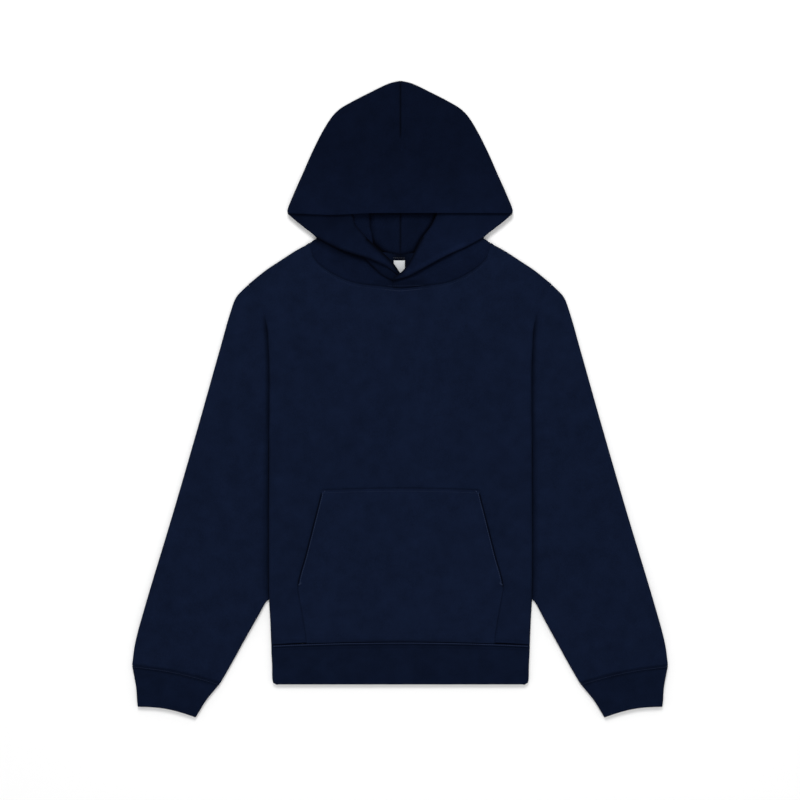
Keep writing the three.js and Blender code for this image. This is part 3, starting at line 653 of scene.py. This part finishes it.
def hem_grid():
    table = curve_points(HEM, 8)
    length = table[0, 0] - table[-1, 0]
    ys = table[0, 0] - band_shares(length) * length
    halves, sags = (np.interp(-ys, -table[:, 0], table[:, i]) for i in (1, 2))
    rows = []
    for i, (y, half, sag) in enumerate(zip(ys, halves, sags)):
        edge_y = y - sag - (SEAM_GAP if i == 0 else 0)
        rows.append({"inner": np.array((-half, edge_y)), "outer": np.array((half, edge_y)),
                     "seam": True, "bow": sag, "ridge": seam_ridge(table[0, 0] - y)})
    return laid_band(rows, 400, RIB_WALL, RIB_LAY)


def pocket_grid():
    edge = np.array(POCKET_EDGE) / POCKET_HALF
    shares = np.concatenate((edge - 1, np.linspace(-0.93, 0.93, 64), 1 - edge[::-1]))
    low, high = POCKET_LINE[0, 0], POCKET_LINE[-1, 0]
    grid = np.zeros((len(POCKET_LINE), len(shares), 3))
    for i, (y, half) in enumerate(POCKET_LINE):
        for j, share in enumerate(shares):
            x = share * half
            bow = POCKET_TOP_BOW * (1 - share ** 2) * smooth(low, high, y) ** 3
            spot_y = y + bow if i else hem_seam_y(x) + SEAM_GAP / 2
            from_edge = min(half - abs(x), high - y, y - low)
            lift = 0.3 + 0.9 * smooth(0, 25, from_edge)
            mouth = 0.9 * smooth(-300, -280, y) * (1 - smooth(-165, -145, y)) * (1 - smooth(0, 18, half - abs(x)))
            grid[i, j] = x, spot_y, HIGH + WALL + SEAM_GAP + lift + mouth
    return grid


def hood_high(y):
    return HIGH + (RIM_HIGH - HIGH) * (1 - smooth(RIM_Y, RIM_Y + RIM_RISE, y))


def hood_shell_grid():
    """Back and top of half the hood."""
    outline, side = Line(HOOD_SIDE), Line(FOLD_BASE[0][::-1])
    peak_y = HOOD_SIDE[0][1] - WALL / 2 - ROLL
    reach = NECK_POINT[0] - 4
    rows = []
    for share in (*np.linspace(0, 0.06, 6)[:-1], *np.linspace(0.06, 1, 58)):
        outer = outline.at(share)
        rows.append({"inner": np.array((0.0, peak_y + (RIM_Y - peak_y) * share)), "outer": outer,
                     "outer_in": outline.inward(min(share, 0.985), 1 - smooth(0, 0.15, share), 0.012),
                     "open": True, "high": hood_high(outer[1])})
    for share in np.linspace(0, 1, 20)[1:-1]:
        rows.append({"inner": np.array((0.0, RIM_Y + (BACK_NECK_Y - RIM_Y) * share)),
                     "outer": side.at(share * 0.97) + np.array((-3.0, 0.0)),
                     "open": True, "lower_only": True, "bow": 4 * share})
    rows.append({"inner": np.array((0.0, BACK_NECK_Y)), "outer": np.array((reach, NECK_POINT[1])),
                 "path": lambda share: (share * reach, back_neck_y(share * reach) + SEAM_GAP),
                 "open": True, "lower_only": True})
    return laid_band(rows, 84, WALL, LAY, crowd=1.25)


def rim_hem_grid():
    """The turned-in hem under half the rim."""
    outline = Line(HOOD_SIDE).points[::-1]
    rows = []
    for y in np.linspace(RIM_Y + 0.1, RIM_Y + RIM_HEM, 12):
        reach = np.interp(y, outline[:, 1], outline[:, 0]) - 5
        high = hood_high(y) - WALL / 2 - RIM_HEM_WALL / 2 - 0.05
        rows.append([(reach * share, y, high) for share in np.linspace(0, 1, 44)])
    return np.array(rows)


def strip_grid(table, high, drop):
    """A narrow strip between two plan lines, lower along the first."""
    table = np.array(table, float)
    first, second = Line(table[:, :2]), Line(table[:, 2:])
    rows = []
    for share in np.linspace(0, 1, 40):
        start, stop = first.at(share), second.at(share)
        rows.append([(*(start + (stop - start) * s), high + drop * (smooth(0, 0.8, s) - 1))
                     for s in np.linspace(0, 1, 9)])
    return np.array(rows)


def hood_front_grid(cross, lift, roll, free, perk):
    """Stand, roll line and fall of half the hood."""
    seam = FRONT_NECK_LINE
    way = np.gradient(seam, axis=0)
    way /= np.linalg.norm(way, axis=1, keepdims=True)
    seam = seam + way[:, ::-1] * (-SEAM_GAP, SEAM_GAP)
    beyond = np.array([(-x, front_neck_y(x) + SEAM_GAP) for x in np.linspace(cross, 1, 6)])
    foot_rows = np.vstack((beyond, seam[:-6], np.array([FOLD_BASE[0][0]])))
    feet = [Line(foot_rows, curved=False), *(Line(rows) for rows in FOLD_BASE)]
    edges = [Line(free), *(Line(rows) for rows in FREE_EDGE_END)]
    rolls = [Line(rows) for rows in roll]
    foot_low = LOW + JOIN_STEP
    foot_roll = (HIGH - foot_low) / 2
    join = WALL + 0.1
    grid = []
    for span, ribs in enumerate((64, 30, 12)):
        for i in range(min(span, 1), ribs + 1):
            share = i / ribs
            foot, crest, edge = (lines[span].at(share) for lines in (feet, rolls, edges))
            towards = unit(crest - foot)

            def bend(start, sign, radius, middle, angle):
                angle = math.radians(angle)
                spot = start + towards * sign * (WALL / 2 + radius * (1 - math.cos(angle)))
                return np.array((*spot, middle + radius * math.sin(angle)))

            foot_bend = [bend(foot, 1, foot_roll, foot_low + foot_roll, a) for a in HALF_TURN]
            under = np.array((*(foot + towards * (WALL / 2 + foot_roll + JOIN_DEPTH)), foot_low))
            crest_bend = [bend(crest, -1, FOLD, HIGH + FOLD, a) for a in HALF_TURN]
            start = foot_bend[-1] if span else np.array((*foot, HIGH))
            stop = np.array((*edge, HIGH + 2 * FOLD))
            steps = np.linspace(0, 1, 41)
            stand = [start + (crest_bend[0] - start) * s for s in steps[:-1]]
            run, shown = np.linalg.norm(crest - foot), np.linalg.norm(edge - foot)
            for s, point in zip(steps, stand):
                point[2] += BAND_SWELL * smooth(0.4, 5, shown - s * run) * smooth(0, 5, s * run)
            fall = [crest_bend[-1] + (stop - crest_bend[-1]) * s for s in steps[1:]]
            first = [under, *foot_bend[:-1]] if span else [NOTHING] * len(foot_bend)
            line = np.array([*first, *stand, *crest_bend, *fall], float)
            raised = np.linalg.norm(line[:, :2] - foot, axis=1)
            lifted = min(lift, join) + max(lift - join, 0) * smooth(0, 16, raised)
            line[:, 2] += lifted * (1 - smooth(LIFT_NEAR, LIFT_FAR, line[:, 0]))
            for near, far, rise in perk:
                bump = smooth(near - 16, near + 4, edge[0]) * (1 - smooth(far - 4, far + 16, edge[0]))
                line[-len(fall):, 2] += rise * bump * steps[1:] ** 0.8
            grid.append(line)
    return np.array(grid)


def new_shader(name, settings):
    """A new material, and its shader with these settings."""
    material = bpy.data.materials.new(name)
    material.use_nodes = True
    shader = material.node_tree.nodes["Principled BSDF"]
    for key, value in settings.items():
        shader.inputs[key].default_value = value
    return material, shader


def node_maker(tree):
    """Makes nodes: a value is a setting's, or a socket's where its name is in_ and a number."""
    def make(kind, **values):
        node = tree.nodes.new(kind)
        for key, value in values.items():
            if key.startswith("in_"):
                node.inputs[int(key[3:])].default_value = value
            else:
                setattr(node, key, value)
        return node
    return make


def add_bump(make, links, shader, height, strength, depth):
    bump = make("ShaderNodeBump")
    bump.inputs["Strength"].default_value = strength
    bump.inputs["Distance"].default_value = depth * MM
    links.new(height, bump.inputs["Height"])
    links.new(bump.outputs[0], shader.inputs["Normal"])


def knit_material(name, colour, wale, course, depth, mottle, fade=None):
    """Fine jersey face: columns of small slanted stitches, with the nap's soft unevenness, darkened by the pieces'
    painted shade and, where a fade is given, by painted shade toward the hood's peak.
    """
    material, shader = new_shader(name, {"Roughness": 0.93, "Specular IOR Level": 0.02, "Sheen Weight": 0.012,
                                         "Sheen Roughness": 0.5, "Sheen Tint": (0.42, 0.52, 0.8, 1)})
    make, links = node_maker(material.node_tree), material.node_tree.links
    grain = make("ShaderNodeAttribute", attribute_name="grain").outputs["Vector"]
    painted_darkening = make("ShaderNodeAttribute", attribute_name="painted_shade").outputs["Fac"]
    split = make("ShaderNodeSeparateXYZ")
    links.new(grain, split.inputs[0])

    def calc(operation, *values):
        node = make("ShaderNodeMath", operation=operation)
        for socket, value in zip(node.inputs, values):
            if isinstance(value, (int, float)):
                socket.default_value = value
            else:
                links.new(value, socket)
        return node.outputs[0]

    def noise_of(scale, detail, roughness):
        texture = make("ShaderNodeTexNoise", in_2=scale, in_3=detail, in_4=roughness)
        links.new(grain, texture.inputs["Vector"])
        return texture.outputs[0]

    across = calc("MULTIPLY", split.outputs[0], 1 / (wale * MM))
    along = calc("MULTIPLY", split.outputs[1], 1 / (course * MM))
    in_wale = calc("ABSOLUTE", calc("SUBTRACT", calc("FRACT", across), 0.5))
    column = calc("SINE", calc("MULTIPLY", in_wale, math.pi * 2))
    slant = calc("ADD", along, calc("MULTIPLY", in_wale, 0.9))
    stitch = calc("ABSOLUTE", calc("SINE", calc("MULTIPLY", slant, math.pi)))
    loop = calc("MULTIPLY", calc("MULTIPLY_ADD", stitch, 0.6, 0.4), column)
    fuzz, patch, fleck = noise_of(2600.0, 3.0, 0.65), noise_of(46.0, 4.0, 0.55), noise_of(720.0, 2.0, 0.6)
    add_bump(make, links, shader, calc("MULTIPLY_ADD", fuzz, 0.5, loop), 0.75, depth)
    shade = 1.0
    for source, weight in ((patch, 1), (fleck, 1.3), (loop, 0.9)):
        shade = calc("MULTIPLY_ADD", calc("SUBTRACT", source, 0.5), mottle * weight, shade)
    # A fade darkens the colour toward the hood's peak: painted shade
    if fade:
        painted_shade = make("ShaderNodeMapRange", interpolation_type="SMOOTHSTEP", in_1=fade[0] * MM, in_2=fade[1] * MM,
                    in_3=1.0, in_4=fade[2])
        links.new(split.outputs[1], painted_shade.inputs[0])
        shade = calc("MULTIPLY", shade, painted_shade.outputs[0])
    # Darkens by the pieces' painted shade
    shade = calc("MULTIPLY", shade, calc("SUBTRACT", 1.0, painted_darkening))
    tint = make("ShaderNodeMix", data_type="RGBA", blend_type="MULTIPLY", clamp_result=False, in_0=1.0,
                in_6=(*colour, 1))
    grey = make("ShaderNodeCombineColor")
    for socket in grey.inputs[:3]:
        links.new(shade, socket)
    links.new(grey.outputs[0], tint.inputs[7])
    links.new(tint.outputs[2], shader.inputs["Base Color"])
    return material


def plain_material(name, colour, roughness=0.7, depth=0.05, scale=4000.0):
    material, shader = new_shader(name, {"Base Color": (*colour, 1), "Roughness": roughness,
                                         "Specular IOR Level": 0.12})
    make, links = node_maker(material.node_tree), material.node_tree.links
    texture = make("ShaderNodeTexNoise", in_2=scale, in_3=2.0)
    links.new(make("ShaderNodeTexCoord").outputs["Object"], texture.inputs["Vector"])
    add_bump(make, links, shader, texture.outputs[0], 0.5, depth)
    return material


JERSEY = {"wale": 1.3, "course": 1.05, "depth": 0.28, "mottle": 0.68}
FLEECE = knit_material("fleece", NAVY, **JERSEY)
# The hood's fleece, darker still from y 235 to 400 toward the peak: painted shade
FLEECE_HOOD_SHADED = knit_material("fleece_hood_shaded", NAVY_HOOD_SHADED, **JERSEY, fade=(235, 400, 0.72))
RIB = knit_material("rib_knit", NAVY_RIB, wale=1.45, course=1.15, depth=0.3, mottle=0.7)
THREAD_MATERIAL = plain_material("thread", THREAD)
THREAD_HIGHLIGHT_MATERIAL = plain_material("thread_highlight", THREAD_HIGHLIGHT)
THREAD_LABEL_MATERIAL = plain_material("thread_label", THREAD_LABEL)
LABEL_MATERIAL = plain_material("label_tape", LABEL_WHITE, 0.75, 0.06, 3500.0)


def cut_of(grid, closed=False):
    """Flat width and length of a piece: its widest row and its longest column."""
    def length(points, closed=False):
        points = points[~np.isnan(points[:, 0])]
        if closed:
            points = np.vstack((points, points[:1]))
        return np.linalg.norm(np.diff(points, axis=0), axis=1).sum()
    wide = max(length(row, closed) for row in grid)
    return wide * MM, max(map(length, grid.swapaxes(0, 1))) * MM


def side_swell(x, y, width):
    from_side = abs(body_half(y) - abs(x))
    return SIDE_SWELL * smooth(0.5, width, from_side) * (1 - smooth(100, 150, y))


def body_relief(x, y):
    fade = smooth(0, 14, abs(body_half(y) - abs(x)))
    from_neck = front_neck_y(x) - y
    near_neck = smooth(0, 9, from_neck) if abs(x) < NECK_POINT[0] else 1.0
    stitch_line = 0.2 * hump(from_neck - NECK_STITCH, 1.2) if abs(x) < 130 else 0.0
    seam_slot = 0.9 * hump(from_neck, 1.4) if abs(x) < 136 else 0.0
    swell = side_swell(x, y, BODY_SWELL_WIDTH) * smooth(0, 10, y - hem_seam_y(x))
    return fold_relief(x, y) * fade * near_neck + pucker(x, y) + swell - stitch_line - seam_slot


def sleeve_relief(x, y):
    near_cuff = 1 - smooth(330, 400, -y)
    return (fold_relief(x, y) * smooth(0, 12, abs(x) - body_half(y))
            + side_swell(x, y, SLEEVE_SWELL_WIDTH) * near_cuff)


def hood_relief(x, y):
    seam = (2.3 * hump(x, 1.7) - 0.6 * hump(abs(x) - 4.2, 2.2)) * smooth(402, 416, y)
    wave = hump(x + 40, 20) + 0.5 * hump(x - 52, 26) - 0.4 * hump(x + 120, 30)
    from_rim = y - RIM_Y
    return fold_relief(x, y) * smooth(0, 10, from_rim) + wave * (1 - smooth(0, 60, from_rim)) - seam


def inner_hood_relief(x, y):
    """The inner back swells between the rolls, the rim and the neck seam, with its seam sunk in."""
    roll = ROLL_LINES["left" if x < 0 else "right"]
    from_roll = np.interp(y, roll[:, 1], roll[:, 0]) - abs(x)
    swell = INNER_SWELL * smooth(0.5, 6, from_roll) * smooth(0.5, 6, y - back_neck_y(x))
    if x < -40:
        swell *= 1 - smooth(238, 246, y) * smooth(0, 3, -x - 40)
    beside_seam = (0.6 * hump(abs(x) - 4, 2.2) - 2.6 * hump(x, 1.7)) * smooth(226, 232, y)
    inside = (swell + beside_seam) * (1 - smooth(296, 325, y)) * (swell > 0)
    return inside + under_relief(x, y) * smooth(300, 330, y)


def rim_sag(x):
    """How far the rim droops from straight, most at the left."""
    return 2.7 * hump(x + 108, 42) - 0.2 * hump(x - 96, 40)


def seam_end(point):
    """Rounded ends: deep by the hem and the cuffs, sharp at the shoulder tip where three edges meet."""
    if point[1] < -370:
        return 1.0
    return 0.45 * (1 - 0.95 * smooth(224, 229, abs(point[0])) * (point[1] > 160))


def shell_end(point):
    """The top layer's centre seam sinks in only near the peak."""
    if abs(point[0]) < 1 and point[2] > 5:
        return 0.02 + 0.5 * smooth(404, 416, point[1])
    return 0.45


# Painted shade: on the front along the armhole crevices, the neck seam and the hem seam; on the back where it shows
# through the neck opening and along its neck seam
def body_shade(is_front):
    if not is_front:
        inner = lines_shade((((0, 180), (0, 216)), 0.8, 18.0), (BACK_NECK[:3], 0.3, 1.8))
        return lambda at: inner(np.column_stack((np.abs(at[:, 0]), at[:, 1:]))) * (at[:, 2] > 1)
    half_neck = FRONT_NECK_LINE[:-36:6]
    neck = np.vstack((half_neck[::-1] * (-1, 1), half_neck))
    hem = seam_line(hem_seam_y, -197, 197, 15)
    return together(crevice_shade(0.4, 1.3), lines_shade((neck, 0.3, 2.6), (hem, 0.85, 1.1)))


def shell_shade(name):
    """Painted shade on the hood's inside, most beside the rolls, the seams and the rim, where shadow falls; also
    painted shade on the seam at the peak.
    """
    keys = ("arc", "rim", "seam", name) + (("crease",) if name == "left" else ())
    inner = together(lines_shade(*(INNER_SHADES[key] for key in keys)), even_shade(1 - INSIDE_PAINTED_SHADE_KEEP))
    peak = lines_shade((((0, 406), (0, 495)), 0.42, 1.3))

    def shade(at):
        inside = (at[:, 2] > 1) & (at[:, 2] < INSIDE_BELOW) & (at[:, 1] < INSIDE_BELOW_Y)
        return np.where(inside, inner(at), peak(at))
    return shade


def add_body():
    made = []
    for name, is_front in (("front", True), ("back", False)):
        grid = body_panel(is_front)
        relief_of(grid, LOW, HIGH, body_relief)
        made.append(cloth(name, [(grid, False, WALL, seam_end, body_shade(is_front))], FLEECE, cut_of(grid)))
    return made


def add_sleeves():
    for name, side in SIDES:
        grid = mirrored(sleeve_grid(), side)
        relief_of(grid, LOW, HIGH, sleeve_relief)
        cloth(f"sleeve_{name}", [(grid, True, WALL, seam_end, crevice_shade(0.5, 4.2))], FLEECE,
              cut_of(grid, True), grain=side * SLEEVE_GRAIN)


def ribbed(grid, pitch, way):
    """Raises fine ribs on the upper layer; the lower one stays on the surface."""
    middle, half = RIB_LAY / 2, (RIB_LAY - RIB_WALL) / 2
    for point in grid.reshape(-1, 3):
        if point[2] > middle:
            wave = math.cos(2 * math.pi * (point[0] * way[0] + point[1] * way[1]) / pitch)
            point[2] += wave / 2 * RIB_HEIGHT * min((point[2] - middle) / half, 1.0)
    return grid


def add_ribs():
    grid = ribbed(hem_grid(), HEM_RIB_PITCH, (1.0, 0.0))
    # Painted shade along the seams' grooves of the hem band and the cuffs
    shade = lines_shade(*((seam_line(hem_seam_y, -HEM_HALF, HEM_HALF, 15, away), strength, width)
                          for away, strength, width in ((0, 0.85, 0.9), (4.7, 0.2, 0.9), (7.7, 0.2, 0.8))))
    made = [cloth("hem_rib", [(grid, True, RIB_WALL, even_end(0.9), shade)], RIB, cut_of(grid, True),
                  name="hem_band_cloth")]
    turn = math.radians(SLEEVE_GRAIN)
    for name, side in SIDES:
        grid = ribbed(mirrored(cuff_grid(), side), CUFF_RIB_PITCH, (side * math.cos(turn), math.sin(turn)))
        shade = lines_shade((cuff_line(side, 4.7), 0.34, 0.95), (cuff_line(side, 0), 0.3, 0.7))
        made.append(cloth(f"cuff_{name}", [(grid, True, RIB_WALL, even_end(0.9), shade)], RIB,
                          cut_of(grid, True), grain=side * SLEEVE_GRAIN))
    return made


def add_pocket():
    grid = pocket_grid()
    relief_of(grid, 0, HIGH + WALL, body_relief)
    # Painted shade along the pocket's mouths, sides, top and foot, and an even painted light over the whole pocket
    edges = [(pocket_edge(side, *part, inset), strength, width) for side in (-1, 1)
             for part, inset, strength, width in (((-290, -147), 0.6, 0.82, 1.7), ((-370, -292), 0.2, 0.22, 1.2))]
    foot = [(x, POCKET[0][0]) for x in (-144, 144)]
    shade = lines_shade((seam_line(pocket_top_y, -121, 121, 12), 0.34, 1.9), (foot, 0.72, 1.5), *edges)
    shade = together(shade, even_shade(-0.055))
    return cloth("pocket", [(grid, False, WALL, even_end(0.7), shade)], FLEECE, cut_of(grid))


def add_hood():
    made = []
    for name, side in SIDES:
        shell = mirrored(hood_shell_grid(), side)
        relief_of(shell, LOW, HIGH, hood_relief, inner_hood_relief)
        hem = mirrored(rim_hem_grid(), side)
        hem[:, :, 2] += [[hood_relief(x, y) for x, y, _ in row] for row in hem]
        for grid in (shell, hem):
            for point in grid.reshape(-1, 3):
                if point[2] > ROLL + 3:
                    point[1] -= rim_sag(point[0]) * (1 - smooth(RIM_Y, RIM_Y + 50, point[1]))
        front = mirrored(hood_front_grid(**FRONT_EDGES[name]), side)
        # Painted shade: the hood's inside and its peak seam, the flaps' edges and rolls, the hem under the rim, the
        # turned-in edge and the inner fold's crease
        parts = [(shell, True, WALL, shell_end, on_side(side, shell_shade(name))),
                 (front, False, WALL, even_end(0.7), on_side(side, lines_shade(*FLAP_SHADES[name]))),
                 (hem, False, RIM_HEM_WALL, even_end(0.6), even_shade(0.3))]
        if name == "left":
            lower, crease = ([row[2:] for row in table] for table in (TURNED_EDGE, INNER_FOLD))
            parts.append((strip_grid(TURNED_EDGE, TURNED_HIGH, 0), False, TURNED_WALL, even_end(0.5),
                          together(even_shade(0.25), lines_shade((lower, 0.5, 2.2)))))
            parts.append((strip_grid(INNER_FOLD, INNER_FOLD_HIGH, 1.2), False, INNER_FOLD_WALL, even_end(0.6),
                          lines_shade((crease, 0.4, 1.2))))
        wide, long = cut_of(shell, True)
        made.append(cloth(f"hood_{name}", parts, FLEECE_HOOD_SHADED, (wide, long + cut_of(front)[0] + RIM_HEM * MM)))
    return made


def add_label():
    xs = np.linspace(LABEL["left"], LABEL["right"], 10)
    grid = np.array([[(x, LABEL["bottom"] + (LABEL["top"] - LABEL["bottom"]) * rise,
                       WALL + SEAM_GAP + LABEL_WALL / 2 + 0.5 * math.sin(math.pi * rise)) for x in xs]
                     for rise in np.linspace(0, 1, 13)])
    cloth("label", [(grid, False, LABEL_WALL, even_end(0.12), even_shade(0.0))], LABEL_MATERIAL, cut_of(grid),
          name="label_tape")


def surfaces(pieces):
    """Trees that give the height of the cloth under a stitch."""
    trees = []
    for piece in pieces:
        mesh = piece.data
        trees.append(BVHTree.FromPolygons([v.co for v in mesh.vertices], [p.vertices for p in mesh.polygons]))
    return trees


def stitches(name, lines, trees, radius, material=THREAD_MATERIAL, length=2.5, space=0.8):
    """Rows of small rounded stitches along plan lines, seated on the cloth below them."""
    vertices, faces = [], []
    for points in lines:
        line = Line(points, curved=False)
        count = int(line.length / (length + space))
        for n in range(count):
            share = (n + 0.5) / count
            x, y = line.at(share)
            x += drift(x, y)
            hits = [tree.ray_cast(Vector((x * MM, y * MM, 0.1)), Vector((0, 0, -1))) for tree in trees]
            hits = [hit for hit in hits if hit[0] is not None]
            if not hits:
                continue
            spot, up, *_ = max(hits, key=lambda hit: hit[0].z)
            up, way = np.array(up), np.array((*line.along(share), 0.0))
            way = unit(way - up * way.dot(up))
            side = np.cross(up, way)
            centre = np.array(spot) / MM + up * radius * 0.35
            first = len(vertices)
            last = first + (len(STITCH_RINGS) - 1) * STITCH_SIDES
            for end, wide in STITCH_RINGS:
                for angle in (math.tau * k / STITCH_SIDES for k in range(STITCH_SIDES)):
                    out = side * math.cos(angle) * 1.15 + up * math.sin(angle) * 0.8
                    vertices.append(centre + way * end * length / 2 + out * radius * wide)
            for ring in range(first, last, STITCH_SIDES):
                for k in range(STITCH_SIDES):
                    a, b = ring + k, ring + (k + 1) % STITCH_SIDES
                    faces.append((a, b, b + STITCH_SIDES, a + STITCH_SIDES))
            faces.append(tuple(range(first + STITCH_SIDES - 1, first - 1, -1)))
            faces.append(tuple(range(last, last + STITCH_SIDES)))
    add_object(name, vertices, faces, material)


def add_stitching(front, back, pocket, ribs, hood):
    on_front = surfaces([front, pocket])
    mouths = [pocket_edge(side, -286, -147, 3.2) for side in (-1, 1)]
    corners = [[(side * 116, -141.6), (side * 121.4, -147.4)] for side in (-1, 1)]
    tacks = [[(side * (153 + shift), -283 + shift * 0.2), (side * (159.6 + shift), -289 + shift * 0.2)]
             for side in (-1, 1) for shift in (-1.4, -0.7, 0.0)]
    hem = seam_line(hem_seam_y, 3 - HEM_HALF, HEM_HALF - 3, 120, RIB_STITCH)
    neck = seam_line(front_neck_y, -128, 128, 90, NECK_STITCH)
    neck_middle = seam_line(front_neck_y, -24, 34, 30, NECK_STITCH)
    stand = [(x, 175.3 + x * x / 900) for x in np.linspace(-20, 36, 24)]
    label_top = [(x, LABEL["top"] + 4.0) for x in np.linspace(-12, 7, 12)]
    pocket_top = seam_line(pocket_top_y, -119, 119, 80, POCKET_STITCH)
    stitches("hem_stitches", [hem], surfaces([ribs[0]]), 0.42, THREAD_HIGHLIGHT_MATERIAL)
    stitches("neck_stitches", [neck], on_front, 0.1)
    stitches("neck_middle_stitches", [neck_middle], on_front, 0.36)
    stitches("stand_stitches", [stand], surfaces(hood), 0.2)
    stitches("label_stitches", [label_top], surfaces([back]), 0.22, THREAD_LABEL_MATERIAL, 1.1, 1.7)
    stitches("pocket_stitches", [pocket_top], on_front, 0.18)
    stitches("mouth_stitches", [*mouths, *corners], on_front, 0.36, THREAD_HIGHLIGHT_MATERIAL)
    stitches("bar_tacks", tacks, on_front, 0.36, length=6.2)
    for (name, side), cuff in zip(SIDES, ribs[1:]):
        stitches(f"cuff_{name}_stitches", [cuff_line(side, RIB_STITCH, 40)], surfaces([cuff]), 0.36)


def add_stage():
    bpy.ops.mesh.primitive_plane_add(size=14, location=(0, 0, -0.0002))
    floor = bpy.context.object
    floor.name = "floor"
    material, _ = new_shader("floor_white", {"Base Color": (0.93, 0.93, 0.93, 1), "Roughness": 0.9})
    floor.data.materials.append(material)

    world = bpy.data.worlds.new("studio")
    bpy.context.scene.world = world
    world.use_nodes = True
    background = world.node_tree.nodes["Background"]
    background.inputs["Color"].default_value = (1, 1, 1, 1)
    background.inputs["Strength"].default_value = 0.68

    for name, place, size, power in (("key", (-0.25, 2.3, 2.6), 1.1, 62.0), ("fill", (0.5, -1.8, 3.0), 2.6, 20.0)):
        light = bpy.data.lights.new(name, "AREA")
        light.energy, light.size = power, size
        lamp = bpy.data.objects.new(name, light)
        lamp.location = place
        lamp.rotation_euler = (-Vector(place)).to_track_quat("-Z", "Y").to_euler()
        bpy.context.scene.collection.objects.link(lamp)

    view = bpy.context.scene.view_settings
    view.view_transform = "Standard"
    view.look = "None"


def add_camera():
    """Straight down at the photo's scale."""
    lens, sensor = 85.0, 36.0
    camera = bpy.data.objects.new("camera", bpy.data.cameras.new("camera"))
    camera.data.lens, camera.data.sensor_width = lens, sensor
    camera.location = (-0.5 * PIXEL * MM, -PIXEL * MM, PIXEL * PIXELS * MM * lens / sensor + LAY * MM)
    bpy.context.scene.collection.objects.link(camera)
    bpy.context.scene.camera = camera


add_camera()
add_stage()
front, back = add_body()
add_sleeves()
ribs = add_ribs()
pocket = add_pocket()
hood = add_hood()
add_label()
add_stitching(front, back, pocket, ribs, hood)
